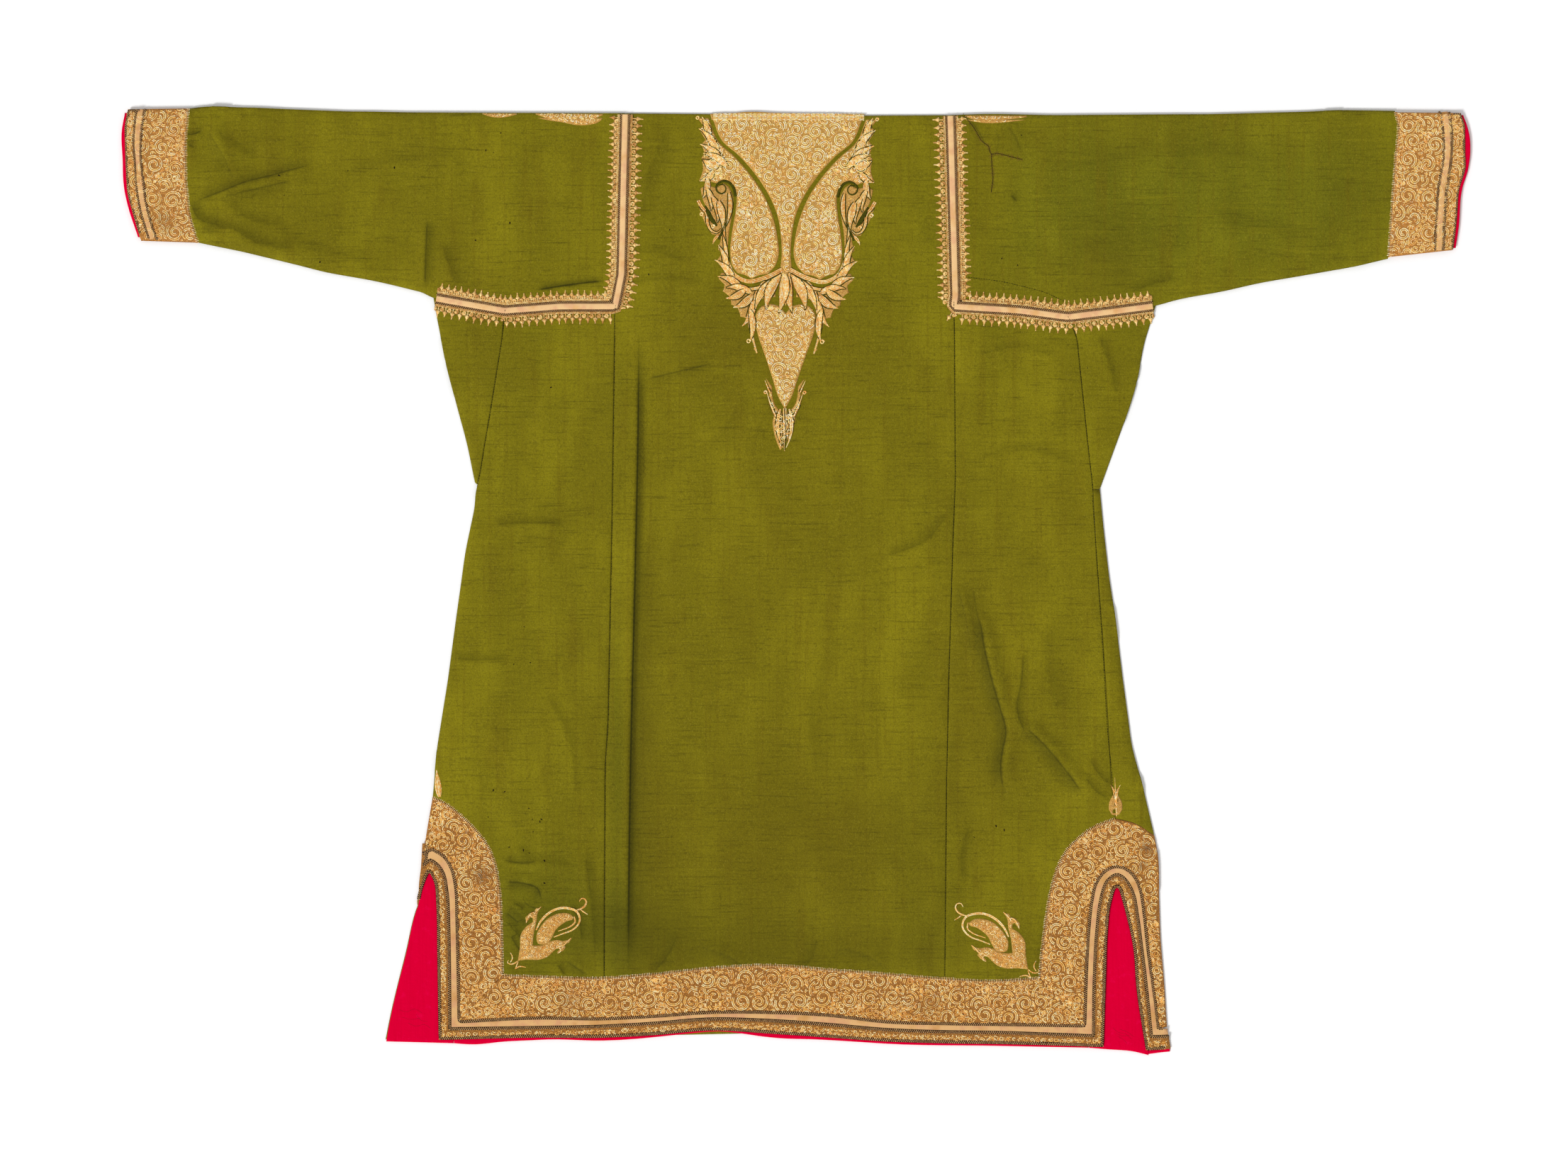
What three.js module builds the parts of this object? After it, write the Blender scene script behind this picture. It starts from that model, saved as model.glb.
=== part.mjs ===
// A choga robe laid out flat with its back upward: green cloth panels, borders and motifs of
// couched gold thread, plain woven tape and a pink silk lining.
// Millimetres. +X runs to the right-hand cuff, +Y to the shoulder fold, +Z up from the floor.
// The origin lies under the middle of the robe's plan.
import * as THREE from 'three';

// Walls
const clothWall = 1.6; // the back panels and the sleeves
const frontWall = 1.4; // the fronts, flat on the floor
const liningWall = 1.0; // silk facings
const goldWall = 2.0; // cloth stiffened all over by couched thread
const tapeWall = 1.7; // plain woven tape between the gold bands
const motifWall = 1.0; // raised motifs on the panels
const braidWall = 1.2; // armhole braid

// How the layers lie on each other
const seamGap = 0.3;
const liningLift = frontWall + seamGap;
const backLift = liningLift + liningWall + seamGap;
const edgeLift = 0.3; // where a folded edge comes down beside the floor
const rollWidth = 6; // width of a rounded fold edge
const backTop = backLift + clothWall;
const cuffHeight = 7.2; // the stiff cuffs stay a little open
const cuffWall = 1.8;

// A short table with named columns becomes a list of rows
const table = (names, rows) => rows.map((row) => (
  Object.fromEntries(names.map((name, k) => [name, row[k]]))));
const line = (rows) => table(['x', 'y'], rows);

// Outline of the laid-out robe, seen from above
const shoulderLeft = line([[-808.5, 630], [-786, 632.5], [-729, 631.5], [-615, 627], [-500, 625],
  [-226.5, 624]]);
const shoulderBack = line([[-226.5, 624], [-115, 623], [0, 622], [95, 621], [207.5, 621.5]]);
const shoulderRight = line([[207.5, 621.5], [263, 623], [357, 621.5], [565, 623], [679, 626],
  [735, 628], [800, 627]]);
const underSleeveLeft = line([[-796, 451], [-729, 437], [-615, 409.5], [-559, 399.5], [-502, 386],
  [-482.5, 377.5]]);
const underSleeveRight = line([[791, 429.5], [735, 417], [622, 397.5], [565, 385], [509, 374.5],
  [481.5, 367]]);
const sideLeftUpper = line([[-482.5, 377.5], [-477.5, 349], [-466.5, 292.5], [-452, 236], [-437, 179],
  [-427.3, 131.5]]);
const sideLeftLower = line([[-425, 122.5], [-428.5, 94], [-440, 37.5], [-452, -47.5], [-463.5, -133],
  [-477, -218], [-483.5, -288.5]]);
const ventFoldLeft = line([[-483.5, -288.5], [-493, -331], [-496.5, -359.5], [-493, -395.5]]);
const sideRightUpper = line([[481.5, 367], [467.5, 321], [456, 264], [438, 207.5], [424, 169.5],
  [407, 122.5]]);
const sideRightLower = line([[407, 122.5], [412.5, 65.5], [419, 9], [427.5, -47.5], [438, -133],
  [449.5, -218], [464.5, -274.5], [479.5, -339.5]]);
const ventFoldRight = line([[479.5, -339.5], [483.5, -359.5], [486, -421], [488, -477], [493, -539],
  [496.5, -595], [501.5, -624]]);

// Seams
const braidSeamLeft = line([[-482.5, 377.5], [-436, 369], [-387, 360.5], [-313.5, 365], [-239.5, 366]]);
const braidSeamRight = line([[481.5, 367], [418, 358.5], [364.5, 352], [299, 360.5], [212, 370]]);
const armholeLeft = line([[-226.5, 624], [-231, 408.5], [-239.5, 366]]);
const armholeRight = line([[207.5, 621.5], [214, 380.5], [212, 370]]);
const backSeamLeft = line([[-239.5, 366], [-240.5, 321], [-243.5, 97], [-249, -184], [-253, -254.5],
  [-254.5, -529.5]]);
const backSeamRight = line([[212, 370], [213, 321], [214, 133.5], [210.5, 40], [205.5, -127],
  [202.5, -265], [200, -530.5]]);
const goreSeamLeft = line([[-387, 360.5], [-391, 321], [-406, 227.5], [-421, 139.5], [-423.7, 128]]);
const goreSeamRight = line([[364.5, 352], [376.5, 321], [390, 190.5], [397.5, 122.5]]);
const sideSeamRight = line([[397.5, 122.5], [403, 22], [410.5, -71.5], [416.5, -165], [422, -265],
  [427.5, -317]]);

// The embroidered border runs down the left vent, along the hem and round the right vent.
// At each station: the panel's edge, the tape's two edges and the border's own free edge.
const borderColumns = ['panelX', 'panelY', 'innerX', 'innerY', 'outerX', 'outerY', 'freeX', 'freeY'];
const ventStationsLeft = table(borderColumns, [
  [-483.5, -288.5, -496, -362.5, -496, -379.5, -493, -395.5],
  [-468, -295.5, -483.5, -357.5, -486, -372, -488, -388],
  [-444.5, -313.5, -468, -367, -476, -379.5, -484.5, -393.5],
  [-424, -334, -457, -385, -468, -393.5, -481.5, -400],
  [-408.5, -355, -453, -402, -465.5, -407, -479.5, -408.5],
  [-399.5, -379.5, -451, -418, -463.5, -422, -478.5, -424],
  [-394.5, -407, -450.5, -440, -462.5, -442.5, -477.5, -444.5],
  [-391.5, -460.5, -449.5, -482.5, -461.5, -484.5, -477, -486],
  [-390, -526, -447.5, -587.5, -460.5, -597.5, -475, -612],
]);
const hemStations = table(borderColumns, [
  [-390, -526, -447.5, -587.5, -460.5, -597.5, -475, -612],
  [-341.5, -528, -348, -582.5, -348, -596, -348, -609],
  [-254.5, -529.5, -254.5, -583.5, -254.5, -594, -254.5, -609],
  [-185.5, -524, -185.5, -580, -185.5, -590, -185.5, -605.5],
  [-115, -516.5, -115, -575, -115, -584.5, -115, -599.5],
  [-33.5, -512.5, -33.5, -575, -33.5, -586.5, -33.5, -603.5],
  [47.5, -518.5, 47.5, -579, 47.5, -592, 47.5, -609],
  [120.5, -524, 120.5, -587.5, 120.5, -598.5, 120.5, -614],
  [200, -530.5, 200, -590, 200, -601.5, 200, -616.5],
  [263, -533.5, 272.5, -591, 272.5, -602.5, 272.5, -617.5],
  [326.5, -529.5, 386, -593, 398.5, -607, 411.5, -621.5],
]);
const ventStationsRight = table(borderColumns, [
  [326.5, -529.5, 386, -593, 398.5, -607, 411.5, -621.5],
  [329.5, -491, 388, -529.5, 399.5, -529.5, 414.5, -532.5],
  [335, -449.5, 391.5, -463.5, 403, -465.5, 417, -467.5],
  [340.5, -415.5, 396.5, -421, 408, -425.5, 421, -431.5],
  [349, -385, 400, -406, 412.5, -408.5, 424, -420],
  [361.5, -360.5, 407, -393.5, 416.5, -400, 425.5, -414.5],
  [378.5, -342.5, 415.5, -385, 422, -395.5, 427, -411],
  [400, -327.5, 423, -381.5, 425.5, -392.5, 428.3, -408.8],
  [427.5, -317, 430.5, -380.5, 429.5, -391.5, 429.5, -408.2],
  [454, -323.5, 442, -384, 436, -394.5, 431.5, -409.5],
  [479.5, -339.5, 454, -395.5, 444.5, -404, 433.5, -415.5],
  [483.5, -359.5, 460.5, -410.5, 450.5, -416.5, 436, -424],
  [486, -421, 465.5, -440, 456, -444.5, 442, -446.5],
  [488, -477, 470, -482.5, 461.5, -486, 451, -488],
  [493, -539, 477.5, -540, 468, -540, 455, -540],
  [496.5, -595, 484.5, -597, 475, -608, 468, -626],
]);
const legEndRight = table(borderColumns, [
  [496.5, -595, 490, -597, 490, -608, 490, -625],
  [496.5, -595, 497, -597, 498.8, -608, 501.5, -624],
]);
const borderAcross = [0, 0.12, 0.42, 1];

// Cuffs: the gold band's free edge and its edge on the sleeve, from the shoulder fold down
const cuffEdgeLeft = line([[-889.5, 629], [-893.5, 602], [-892.5, 562], [-890.5, 523], [-885, 498],
  [-872, 453.5]]);
const cuffSeamLeft = line([[-808.5, 630], [-811.5, 596], [-812, 562], [-811, 525], [-807, 490],
  [-796, 451]]);
const cuffEdgeRight = line([[887, 626], [893, 605], [893.5, 548], [886, 524], [881, 470], [877, 439]]);
const cuffSeamRight = line([[800, 627], [804.5, 606], [801, 570], [798, 530], [794.5, 480],
  [791, 429.5]]);
const cuffLiningReach = 4; // how far the silk stands out of the cuff
const cuffLiningDepth = 24;
const cuffLiningClear = 5; // inside the cuff's upper and lower folds

// Largest folds of the laid cloth: ridges from one end to the other
const foldColumns = ['fromX', 'fromY', 'toX', 'toY', 'width', 'rise'];
const folds = table(foldColumns, [
  [-775, 511, -645, 555, 13, 3.2],
  [-780, 592, -748, 529, 10, 2.2],
  [-764, 482, -682, 450, 10, 3.0],
  [-489, 480, -493, 402, 10, 2.6],
  [-610, 572, -452, 595, 13, 1.8],
  [281, 600, 301, 560, 9, 2.4],
  [357, 547, 640, 570, 16, 2.0],
  [446, 400, 509, 412, 9, 2.8],
  [560, 480, 700, 455, 14, 2.2],
  [-402, 76, -308, 78, 10, 2.6],
  [-440, -103, -383, -103, 9, 2.4],
  [-378, -412, -340, -447, 8, 2.2],
  [239, -38, 254, -90, 10, 4.6],
  [254, -90, 277, -191, 11, 5.2],
  [277, -191, 274, -262, 10, 4.4],
  [305, -90, 298, -176, 10, 4.0],
  [298, -176, 313, -199, 10, 3.6],
  [313, -199, 369, -265, 10, 3.4],
  [122, 33, 175, 55, 9, 2.6],
  [175, 55, 200, 86, 9, 3.0],
  [-188, 338, -120, 362, 9, 1.8],
]);
// Pressed pleats in the back panel beside its seams: the fold edge stands off the seam
const pleats = [
  { seam: backSeamLeft, turn: 1, reach: 31, rise: 3.2, topY: 330, fadeIn: 60 },
  { seam: backSeamRight, turn: -1, reach: 10, rise: 2.4, topY: 330, fadeIn: 60 },
];
const pleatEdge = 4; // width over which a pleat's fold edge drops

// Neck motif, measured from its axis (x) and down from the shoulder line (y), right half
const motifAxis = -10;
const motifTop = 623.2;
const motifTilt = -0.0087;
const fieldHalf = line([[0, -7], [100, -7], [87, -37], [65, -56], [39, -85.5], [25, -107], [12.8, -134],
  [7, -167], [6, -189], [8, -214], [6, -232], [0, -257]]);
const botehOutline = line([[105, -7], [120, -7], [112, -17], [117.5, -22], [109, -36], [114, -42],
  [110, -54], [114, -60], [112, -76], [117, -91], [104, -91], [94, -94], [84.5, -89], [74.5, -93],
  [67, -110], [67.5, -126], [72.5, -159], [74.5, -190], [72, -203], [65, -213], [52, -217],
  [45.5, -221], [39, -217], [24.5, -214], [14.5, -203], [10, -188], [11.5, -167], [19.5, -134],
  [31.5, -107], [46, -85.5], [70, -58], [92.5, -37]]);
const scrollOutline = line([[97, -99], [106, -96], [115, -101], [112, -115], [104, -133], [101, -145],
  [107, -139], [120, -116.5], [112.5, -138], [106, -152], [99, -162], [90, -163], [87, -168],
  [91, -182], [85.5, -187], [93, -198], [85, -204], [79, -199], [78.5, -190], [76.5, -159],
  [71.5, -126], [71.5, -111], [77.5, -98], [84.5, -93.5], [91, -98]]);
const leavesOutline = line([[12, -227], [24, -229], [43, -229], [63, -226], [78, -211], [88, -209],
  [94, -222], [85, -230], [87.5, -239], [77, -247], [75.5, -257], [66.5, -262], [62.5, -274],
  [53.5, -276], [53, -286], [47, -297], [41, -308], [47, -314], [34.5, -329], [36.5, -311], [42, -292],
  [45, -273], [42, -260], [33, -251], [17, -248], [8.5, -249], [11, -240]]);
const heartHalf = line([[0, -266], [8, -257], [20, -254], [32, -257], [39, -266], [40.5, -276],
  [37, -295], [30, -315], [18, -350], [8, -380], [0, -394]]);
const finialHalf = line([[0, -401], [7, -396], [13, -389], [16.5, -378], [17.5, -364], [26, -353],
  [21, -366], [21, -377], [20, -392], [14, -402], [15, -410], [13, -420], [7, -436], [0, -449]]);
const finialLean = 0.12; // sideways lean of the finial below its root
const finialRoot = -401;

// Corner paisleys, measured from the root: a two-lobed leaf with curled tips and a hooked bud above it
const paisleyLeaf = line([[0, 0], [3, 18.5], [4.5, 36.5], [11, 45.5], [20, 52], [20, 57], [17, 58.5],
  [11, 50], [10.5, 58], [16, 64], [21, 63.5], [24, 70], [31, 71], [26.5, 64], [25.5, 55], [21.5, 36.5],
  [20, 20.5], [34.5, 21.5], [43.5, 26], [52.5, 28], [61, 26.5], [72, 30.5], [68, 24], [61.5, 22],
  [64, 18], [60, 13], [52, 11], [57, 17], [54, 18], [48, 13], [39, 5], [29, 1.5], [12, 1.5]]);
const paisleyBud = line([[25.5, 44], [34.5, 56.5], [48, 68], [61.5, 71], [76, 68], [84, 71.5],
  [88, 77.5], [86, 83], [90.5, 80], [90, 73], [84, 66.5], [93, 61.5], [83, 60], [82, 56], [79.5, 47],
  [69, 41], [55, 35], [48.5, 31], [51, 36.5], [43, 31], [36, 26.5], [29, 25], [26, 30]]);
const paisleyPlaces = table(['side', 'x', 'y', 'turn', 'grow'], [
  ['left', -369.5, -506.5, 1, 1],
  ['right', 311, -518, -1, 1.06],
]);
const budOutline = line([[0, -32], [5, -31], [9, -24], [8.5, -15], [4, -6], [0, 0], [-4, -6],
  [-8.5, -15], [-9, -24], [-5, -31]]);
const budPlace = { x: 427.5, y: -280.5 };
const epauletteLeft = line([[-344, 617.5], [-330, 614.5], [-310, 611.5], [-292, 608], [-275, 608.5],
  [-262, 612], [-256, 617.5]]);
const epauletteRight = line([[227, 615], [240, 612], [256, 610.5], [290, 612.5], [308, 615]]);

// Armhole braid: a tape with small gold points along both sides
const braidPitch = 9.2;
const braidValley = 14; // half width between two points
const braidTip = 20.5; // half width at a point
const braidStart = 7; // clear of the rounded shoulder fold
const braidEnd = 8; // clear of the underarm edge
const normalReach = 0.02; // share of the run over which its direction is taken

// Fronts, under the back: the opening down the middle and the neck
const frontMiddle = -12;
const frontOpening = 0.5; // half the slit between the two fronts
const neckHalf = line([[54, 613], [48, 585], [30, 555], [frontOpening, 535]]);
const foldClear = 13; // how far the fronts stay inside the folded side edges

// ---- lines and grids ----

const mix = (a, b, t) => a + (b - a) * t;
const mixPoint = (a, b, t) => ({ x: mix(a.x, b.x, t), y: mix(a.y, b.y, t) });
const between = (a, b) => Math.hypot(b.x - a.x, b.y - a.y);
const joined = (...lines) => lines.flatMap((points, k) => (k === 0 ? points : points.slice(1)));
const reversed = (points) => [...points].reverse();
const mirrored = (points) => points.map(({ x, y }) => ({ x: -x, y }));
const bothHalves = (half) => [...half, ...mirrored(reversed(half)).slice(1, -1)];

// A polyline that is walked by its length; knots are its corners
function edge(points) {
  const marks = [0];
  for (let k = 1; k < points.length; k += 1) marks.push(marks[k - 1] + between(points[k - 1], points[k]));
  const total = marks.at(-1);
  const knots = marks.map((mark) => mark / total);
  const at = (t) => {
    const last = knots.length - 2;
    const next = knots.findIndex((knot) => knot > t);
    const k = next < 0 ? last : Math.min(last, Math.max(0, next - 1));
    return mixPoint(points[k], points[k + 1], (t - knots[k]) / (knots[k + 1] - knots[k]));
  };
  return { at, knots, total };
}

// Even steps from 0 to 1 together with the knots that have to be met
function steps(count, ...knotLists) {
  const marks = [0, 1, ...knotLists.flat()].map((t) => Number(t.toFixed(9)));
  const fixed = [...new Set(marks)].sort((a, b) => a - b);
  const filled = [...fixed];
  for (let k = 1; k < fixed.length; k += 1) {
    const pieces = Math.max(1, Math.round((fixed[k] - fixed[k - 1]) * count));
    for (let n = 1; n < pieces; n += 1) filled.push(mix(fixed[k - 1], fixed[k], n / pieces));
  }
  return filled.sort((a, b) => a - b);
}

// A plan grid spanned between four edges; rows run from the top edge to the bottom edge
function plan({ top, bottom, left, right, across, down, columnsAt = [], rowsAt = [] }) {
  const [t, b, l, r] = [edge(top), edge(bottom), edge(left), edge(right)];
  const columns = steps(across, t.knots, b.knots, columnsAt);
  const rows = steps(down, l.knots, r.knots, rowsAt);
  const blend = (u, v, axis) => mix(t.at(u)[axis], b.at(u)[axis], v) + mix(l.at(v)[axis], r.at(v)[axis], u)
    - mix(mix(top[0][axis], top.at(-1)[axis], u), mix(bottom[0][axis], bottom.at(-1)[axis], u), v);
  return rows.map((v) => columns.map((u) => ({ x: blend(u, v, 'x'), y: blend(u, v, 'y') })));
}

// Moves the rim of a plan grid inward, so that neighbours stay a seam apart
function shrink(grid, inset) {
  const [last, end] = [grid.length - 1, grid[0].length - 1];
  const loop = [
    ...grid[0].map((_, j) => [0, j]),
    ...grid.slice(1).map((_, i) => [i + 1, end]),
    ...grid[0].slice(1).map((_, j) => [last, end - 1 - j]),
    ...grid.slice(1, -1).map((_, i) => [last - 1 - i, 0]),
  ];
  const rim = loop.map(([i, j]) => grid[i][j]);
  const area = rim.reduce((sum, p, k) => {
    const q = rim[(k + 1) % rim.length];
    return sum + p.x * q.y - q.x * p.y;
  }, 0);
  const side = Math.sign(area);
  const moved = rim.map((p, k) => {
    const before = rim[(k + rim.length - 1) % rim.length];
    const after = rim[(k + 1) % rim.length];
    const normals = [[before, p], [p, after]].map(([a, b]) => {
      const run = between(a, b);
      return { x: -side * (b.y - a.y) / run, y: side * (b.x - a.x) / run };
    });
    const sum = { x: normals[0].x + normals[1].x, y: normals[0].y + normals[1].y };
    const stretch = (2 * inset) / Math.max(1, sum.x * sum.x + sum.y * sum.y);
    return { x: p.x + sum.x * stretch, y: p.y + sum.y * stretch };
  });
  const shrunk = grid.map((row) => row.map((p) => ({ ...p })));
  loop.forEach(([i, j], k) => { shrunk[i][j] = moved[k]; });
  return shrunk;
}

// ---- how the back lies ----

function distanceTo(points, x, y) {
  let nearest = Infinity;
  for (let k = 1; k < points.length; k += 1) {
    const [a, b] = [points[k - 1], points[k]];
    const run = { x: b.x - a.x, y: b.y - a.y };
    const along = ((x - a.x) * run.x + (y - a.y) * run.y) / (run.x * run.x + run.y * run.y);
    const t = Math.min(1, Math.max(0, along));
    nearest = Math.min(nearest, Math.hypot(x - a.x - run.x * t, y - a.y - run.y * t));
  }
  return nearest;
}

const smooth = (t) => {
  const held = Math.min(1, Math.max(0, t));
  return held * held * (3 - 2 * held);
};

const foldEdges = [
  shoulderBack,
  joined(sideLeftUpper, sideLeftLower, ventFoldLeft),
  joined(sideRightUpper, sideRightLower, ventFoldRight),
];

// 1 on a folded edge, 0 clear of it
function rollAt(x, y) {
  const gap = Math.min(...foldEdges.map((points) => distanceTo(points, x, y)));
  return gap >= rollWidth ? 0 : (1 - gap / rollWidth) ** 2;
}

function foldRise(x, y) {
  return folds.reduce((sum, fold) => {
    const spine = [{ x: fold.fromX, y: fold.fromY }, { x: fold.toX, y: fold.toY }];
    const gap = distanceTo(spine, x, y) / fold.width;
    return Math.max(sum, fold.rise * Math.exp(-gap * gap));
  }, 0);
}

function seamX(points, y) {
  const k = Math.max(1, points.findIndex((p) => p.y <= y));
  const [a, b] = [points[k - 1], points[k]];
  return mix(a.x, b.x, (a.y - y) / (a.y - b.y));
}

function pleatRise(x, y) {
  return pleats.reduce((sum, pleat) => {
    if (y > pleat.topY || y < pleat.seam.at(-1).y) return sum;
    const off = (x - seamX(pleat.seam, y)) * pleat.turn;
    if (off < 0 || off > pleat.reach + pleatEdge) return sum;
    const hemFade = smooth((y - pleat.seam.at(-1).y) / pleat.fadeIn);
    const fade = smooth((pleat.topY - y) / pleat.fadeIn) * hemFade;
    const across = smooth(off / pleatEdge) * (1 - smooth((off - pleat.reach) / pleatEdge));
    return sum + pleat.rise * fade * across;
  }, 0);
}

const backUnderside = (x, y) => mix(backLift + foldRise(x, y) + pleatRise(x, y), edgeLift, rollAt(x, y));

// ---- solids ----

// Closed body between an outer and an inner grid of points; loop joins the last column to the first
function shell(outer, inner, loop = false) {
  const rows = outer.length;
  const columns = outer[0].length;
  const points = [...outer.flat(), ...inner.flat()];
  const index = [];
  const quad = (a, b, c, d) => index.push(a, b, c, a, c, d);
  const out = (i, j) => i * columns + (j % columns);
  const inn = (i, j) => rows * columns + out(i, j);
  const spans = loop ? columns : columns - 1;
  for (let i = 0; i < rows - 1; i += 1) {
    for (let j = 0; j < spans; j += 1) {
      quad(out(i, j), out(i + 1, j), out(i + 1, j + 1), out(i, j + 1));
      quad(inn(i, j + 1), inn(i + 1, j + 1), inn(i + 1, j), inn(i, j));
    }
    if (!loop) {
      quad(inn(i, 0), inn(i + 1, 0), out(i + 1, 0), out(i, 0));
      quad(out(i, spans), out(i + 1, spans), inn(i + 1, spans), inn(i, spans));
    }
  }
  for (let j = 0; j < spans; j += 1) {
    quad(inn(0, j + 1), inn(0, j), out(0, j), out(0, j + 1));
    quad(out(rows - 1, j + 1), out(rows - 1, j), inn(rows - 1, j), inn(rows - 1, j + 1));
  }
  let volume = 0;
  for (let k = 0; k < index.length; k += 3) {
    const [a, b, c] = [points[index[k]], points[index[k + 1]], points[index[k + 2]]];
    volume += a.clone().cross(b).dot(c);
  }
  if (volume < 0) index.reverse();
  const geometry = new THREE.BufferGeometry().setFromPoints(points);
  geometry.setIndex(index);
  geometry.computeVertexNormals();
  return geometry;
}

// A wall of cloth whose underside height is given over the plan
function layer(grid, wall, undersideAt) {
  const kept = shrink(grid, seamGap / 2);
  const skin = (lift) => kept.map((row) => row.map(({ x, y }) => (
    new THREE.Vector3(x, y, undersideAt(x, y) + lift))));
  return shell(skin(wall), skin(0));
}

const backPanel = (spec, wall = clothWall) => layer(plan(spec), wall, backUnderside);
const flatSheet = (spec, wall, lift) => layer(plan(spec), wall, () => lift);

// A flattened tube: each column of the plan is a ring of an upper and a lower run
const ringRound = [0, 0.72, 1]; // height share of the first rows from a fold
const innerPull = 1.3; // how far, in walls, the inner skin stops short of a fold
function tube(grid, { wall, lift = 0, heightAt, riseAt = () => 0 }) {
  const rows = grid.length;
  const roundAt = (i) => ringRound[Math.min(i, rows - 1 - i, ringRound.length - 1)];
  const ringOf = (column, skin) => {
    const points = grid.map((row) => row[column]);
    const walk = skin > 0 ? edge(points) : null;
    const pull = walk ? (wall * innerPull) / walk.total : 0;
    const place = (i) => (walk ? walk.at(mix(pull, 1 - pull, walk.knots[i])) : points[i]);
    const half = heightAt(points[0].x) / 2;
    const at = (i, side) => {
      const { x, y } = place(i);
      const bulge = (half - skin) * roundAt(i);
      const extra = side > 0 ? riseAt(x, y) * roundAt(i) : 0;
      return new THREE.Vector3(x, y, lift + half + side * bulge + extra);
    };
    const upper = points.map((_, i) => at(i, 1));
    const lower = points.slice(1, -1).map((_, i) => at(i + 1, -1)).reverse();
    return [...upper, ...lower];
  };
  const columns = grid[0].map((_, column) => column);
  return shell(columns.map((c) => ringOf(c, 0)), columns.map((c) => ringOf(c, wall)), true);
}

// A flat raised piece with the given outline
function raised(points, wall, lift) {
  const outline = new THREE.Shape(points.map(({ x, y }) => new THREE.Vector2(x, y)));
  const geometry = new THREE.ExtrudeGeometry(outline, { depth: wall, bevelEnabled: false });
  geometry.translate(0, 0, lift);
  return geometry;
}

// ---- materials ----

const finish = (color, roughness, metalness = 0) => (
  new THREE.MeshStandardMaterial({ color, roughness, metalness }));
const greenCloth = finish(0x77781c, 0.8);
const goldWork = finish(0xcda064, 0.45, 0.6);
const plainTape = finish(0xeec891, 0.6, 0.2);
const pinkSilk = finish(0xe6003c, 0.6);

const robe = new THREE.Group();
function add(name, geometry, material) {
  const mesh = new THREE.Mesh(geometry, material);
  mesh.name = name;
  robe.add(mesh);
}

// ---- back panels ----

const insetStep = [2.5, rollWidth];
const insetsFrom = (width) => insetStep.map((step) => step / width);
const pleatColumns = [0.009, 0.035, 0.068, 0.077, 0.97]; // shares of the centre panel's width

const borderRail = (stations, key) => stations.map((row) => ({ x: row[`${key}X`], y: row[`${key}Y`] }));
const archLeft = borderRail(ventStationsLeft, 'panel');
const hemTop = borderRail(hemStations, 'panel');
const archRight = borderRail(ventStationsRight, 'panel');
const crown = 8; // the station at the top of the right-hand vent, on the side seam
const foldStation = 10; // where that arch meets the folded side edge
const archRightBack = reversed(archRight.slice(0, crown + 1));
const archRightFront = archRight.slice(crown, foldStation + 1);
const [seamStationLeft, seamStationRight] = [2, 8]; // hem stations under the long back seams

function addBack() {
  add('back_centre', backPanel({
    top: shoulderBack,
    bottom: hemTop.slice(seamStationLeft, seamStationRight + 1),
    left: joined(armholeLeft, backSeamLeft),
    right: joined(armholeRight, backSeamRight),
    across: 12,
    down: 22,
    columnsAt: pleatColumns,
    rowsAt: insetsFrom(1150),
  }), greenCloth);
  add('back_side_left', backPanel({
    top: braidSeamLeft.slice(2),
    bottom: hemTop.slice(0, seamStationLeft + 1),
    left: [...goreSeamLeft, ...sideLeftLower, ...archLeft.slice(1)],
    right: backSeamLeft,
    across: 9,
    down: 20,
    columnsAt: insetsFrom(190),
  }), greenCloth);
  add('back_side_right', backPanel({
    top: reversed(braidSeamRight.slice(2)),
    bottom: hemTop.slice(seamStationRight),
    left: backSeamRight,
    right: joined(goreSeamRight, sideSeamRight, archRightBack),
    across: 9,
    down: 26,
  }), greenCloth);
  add('underarm_gore_left', backPanel({
    top: braidSeamLeft.slice(0, 3),
    bottom: [sideLeftUpper.at(-1), goreSeamLeft.at(-1)],
    left: sideLeftUpper,
    right: goreSeamLeft,
    across: 3,
    down: 6,
    columnsAt: insetsFrom(60),
  }), greenCloth);
  add('underarm_gore_right', backPanel({
    top: reversed(braidSeamRight.slice(0, 3)),
    bottom: [goreSeamRight.at(-1), sideRightUpper.at(-1)],
    left: goreSeamRight,
    right: sideRightUpper,
    across: 3,
    down: 6,
    columnsAt: insetsFrom(60).map((t) => 1 - t),
  }), greenCloth);
  add('front_turnover_right', backPanel({
    top: [sideSeamRight[0], sideRightLower[0]],
    bottom: archRightFront,
    left: sideSeamRight,
    right: sideRightLower,
    across: 2,
    down: 10,
    columnsAt: insetsFrom(32).map((t) => 1 - t),
  }), greenCloth);
}

// ---- sleeves and cuffs ----

const sleeveSettle = 130; // length over which a sleeve comes down from its cuff
const cuffX = 800;
const sleeveFoldRows = [0.006, 0.022, 0.978, 0.994]; // close rows round the two folds
const cuffFoldRows = [0.008, 0.028, 0.972, 0.992];
const heightFromCuff = (x) => mix(cuffHeight, backTop, smooth((cuffX - Math.abs(x)) / sleeveSettle));

function sleevePlan({ shoulder, under, cuffSeam, armhole }) {
  return shrink(plan({
    top: shoulder,
    bottom: under,
    left: cuffSeam,
    right: armhole,
    across: 9,
    down: 6,
    rowsAt: sleeveFoldRows,
  }), seamGap / 2);
}

function cuffPlan(free, seam) {
  const edges = { top: [free[0], seam[0]], bottom: [free.at(-1), seam.at(-1)], left: free, right: seam };
  return { ...edges, across: 2, down: 4, rowsAt: cuffFoldRows };
}

const moveAlongX = (points, shift) => points.map(({ x, y }) => ({ x: x + shift, y }));

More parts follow.
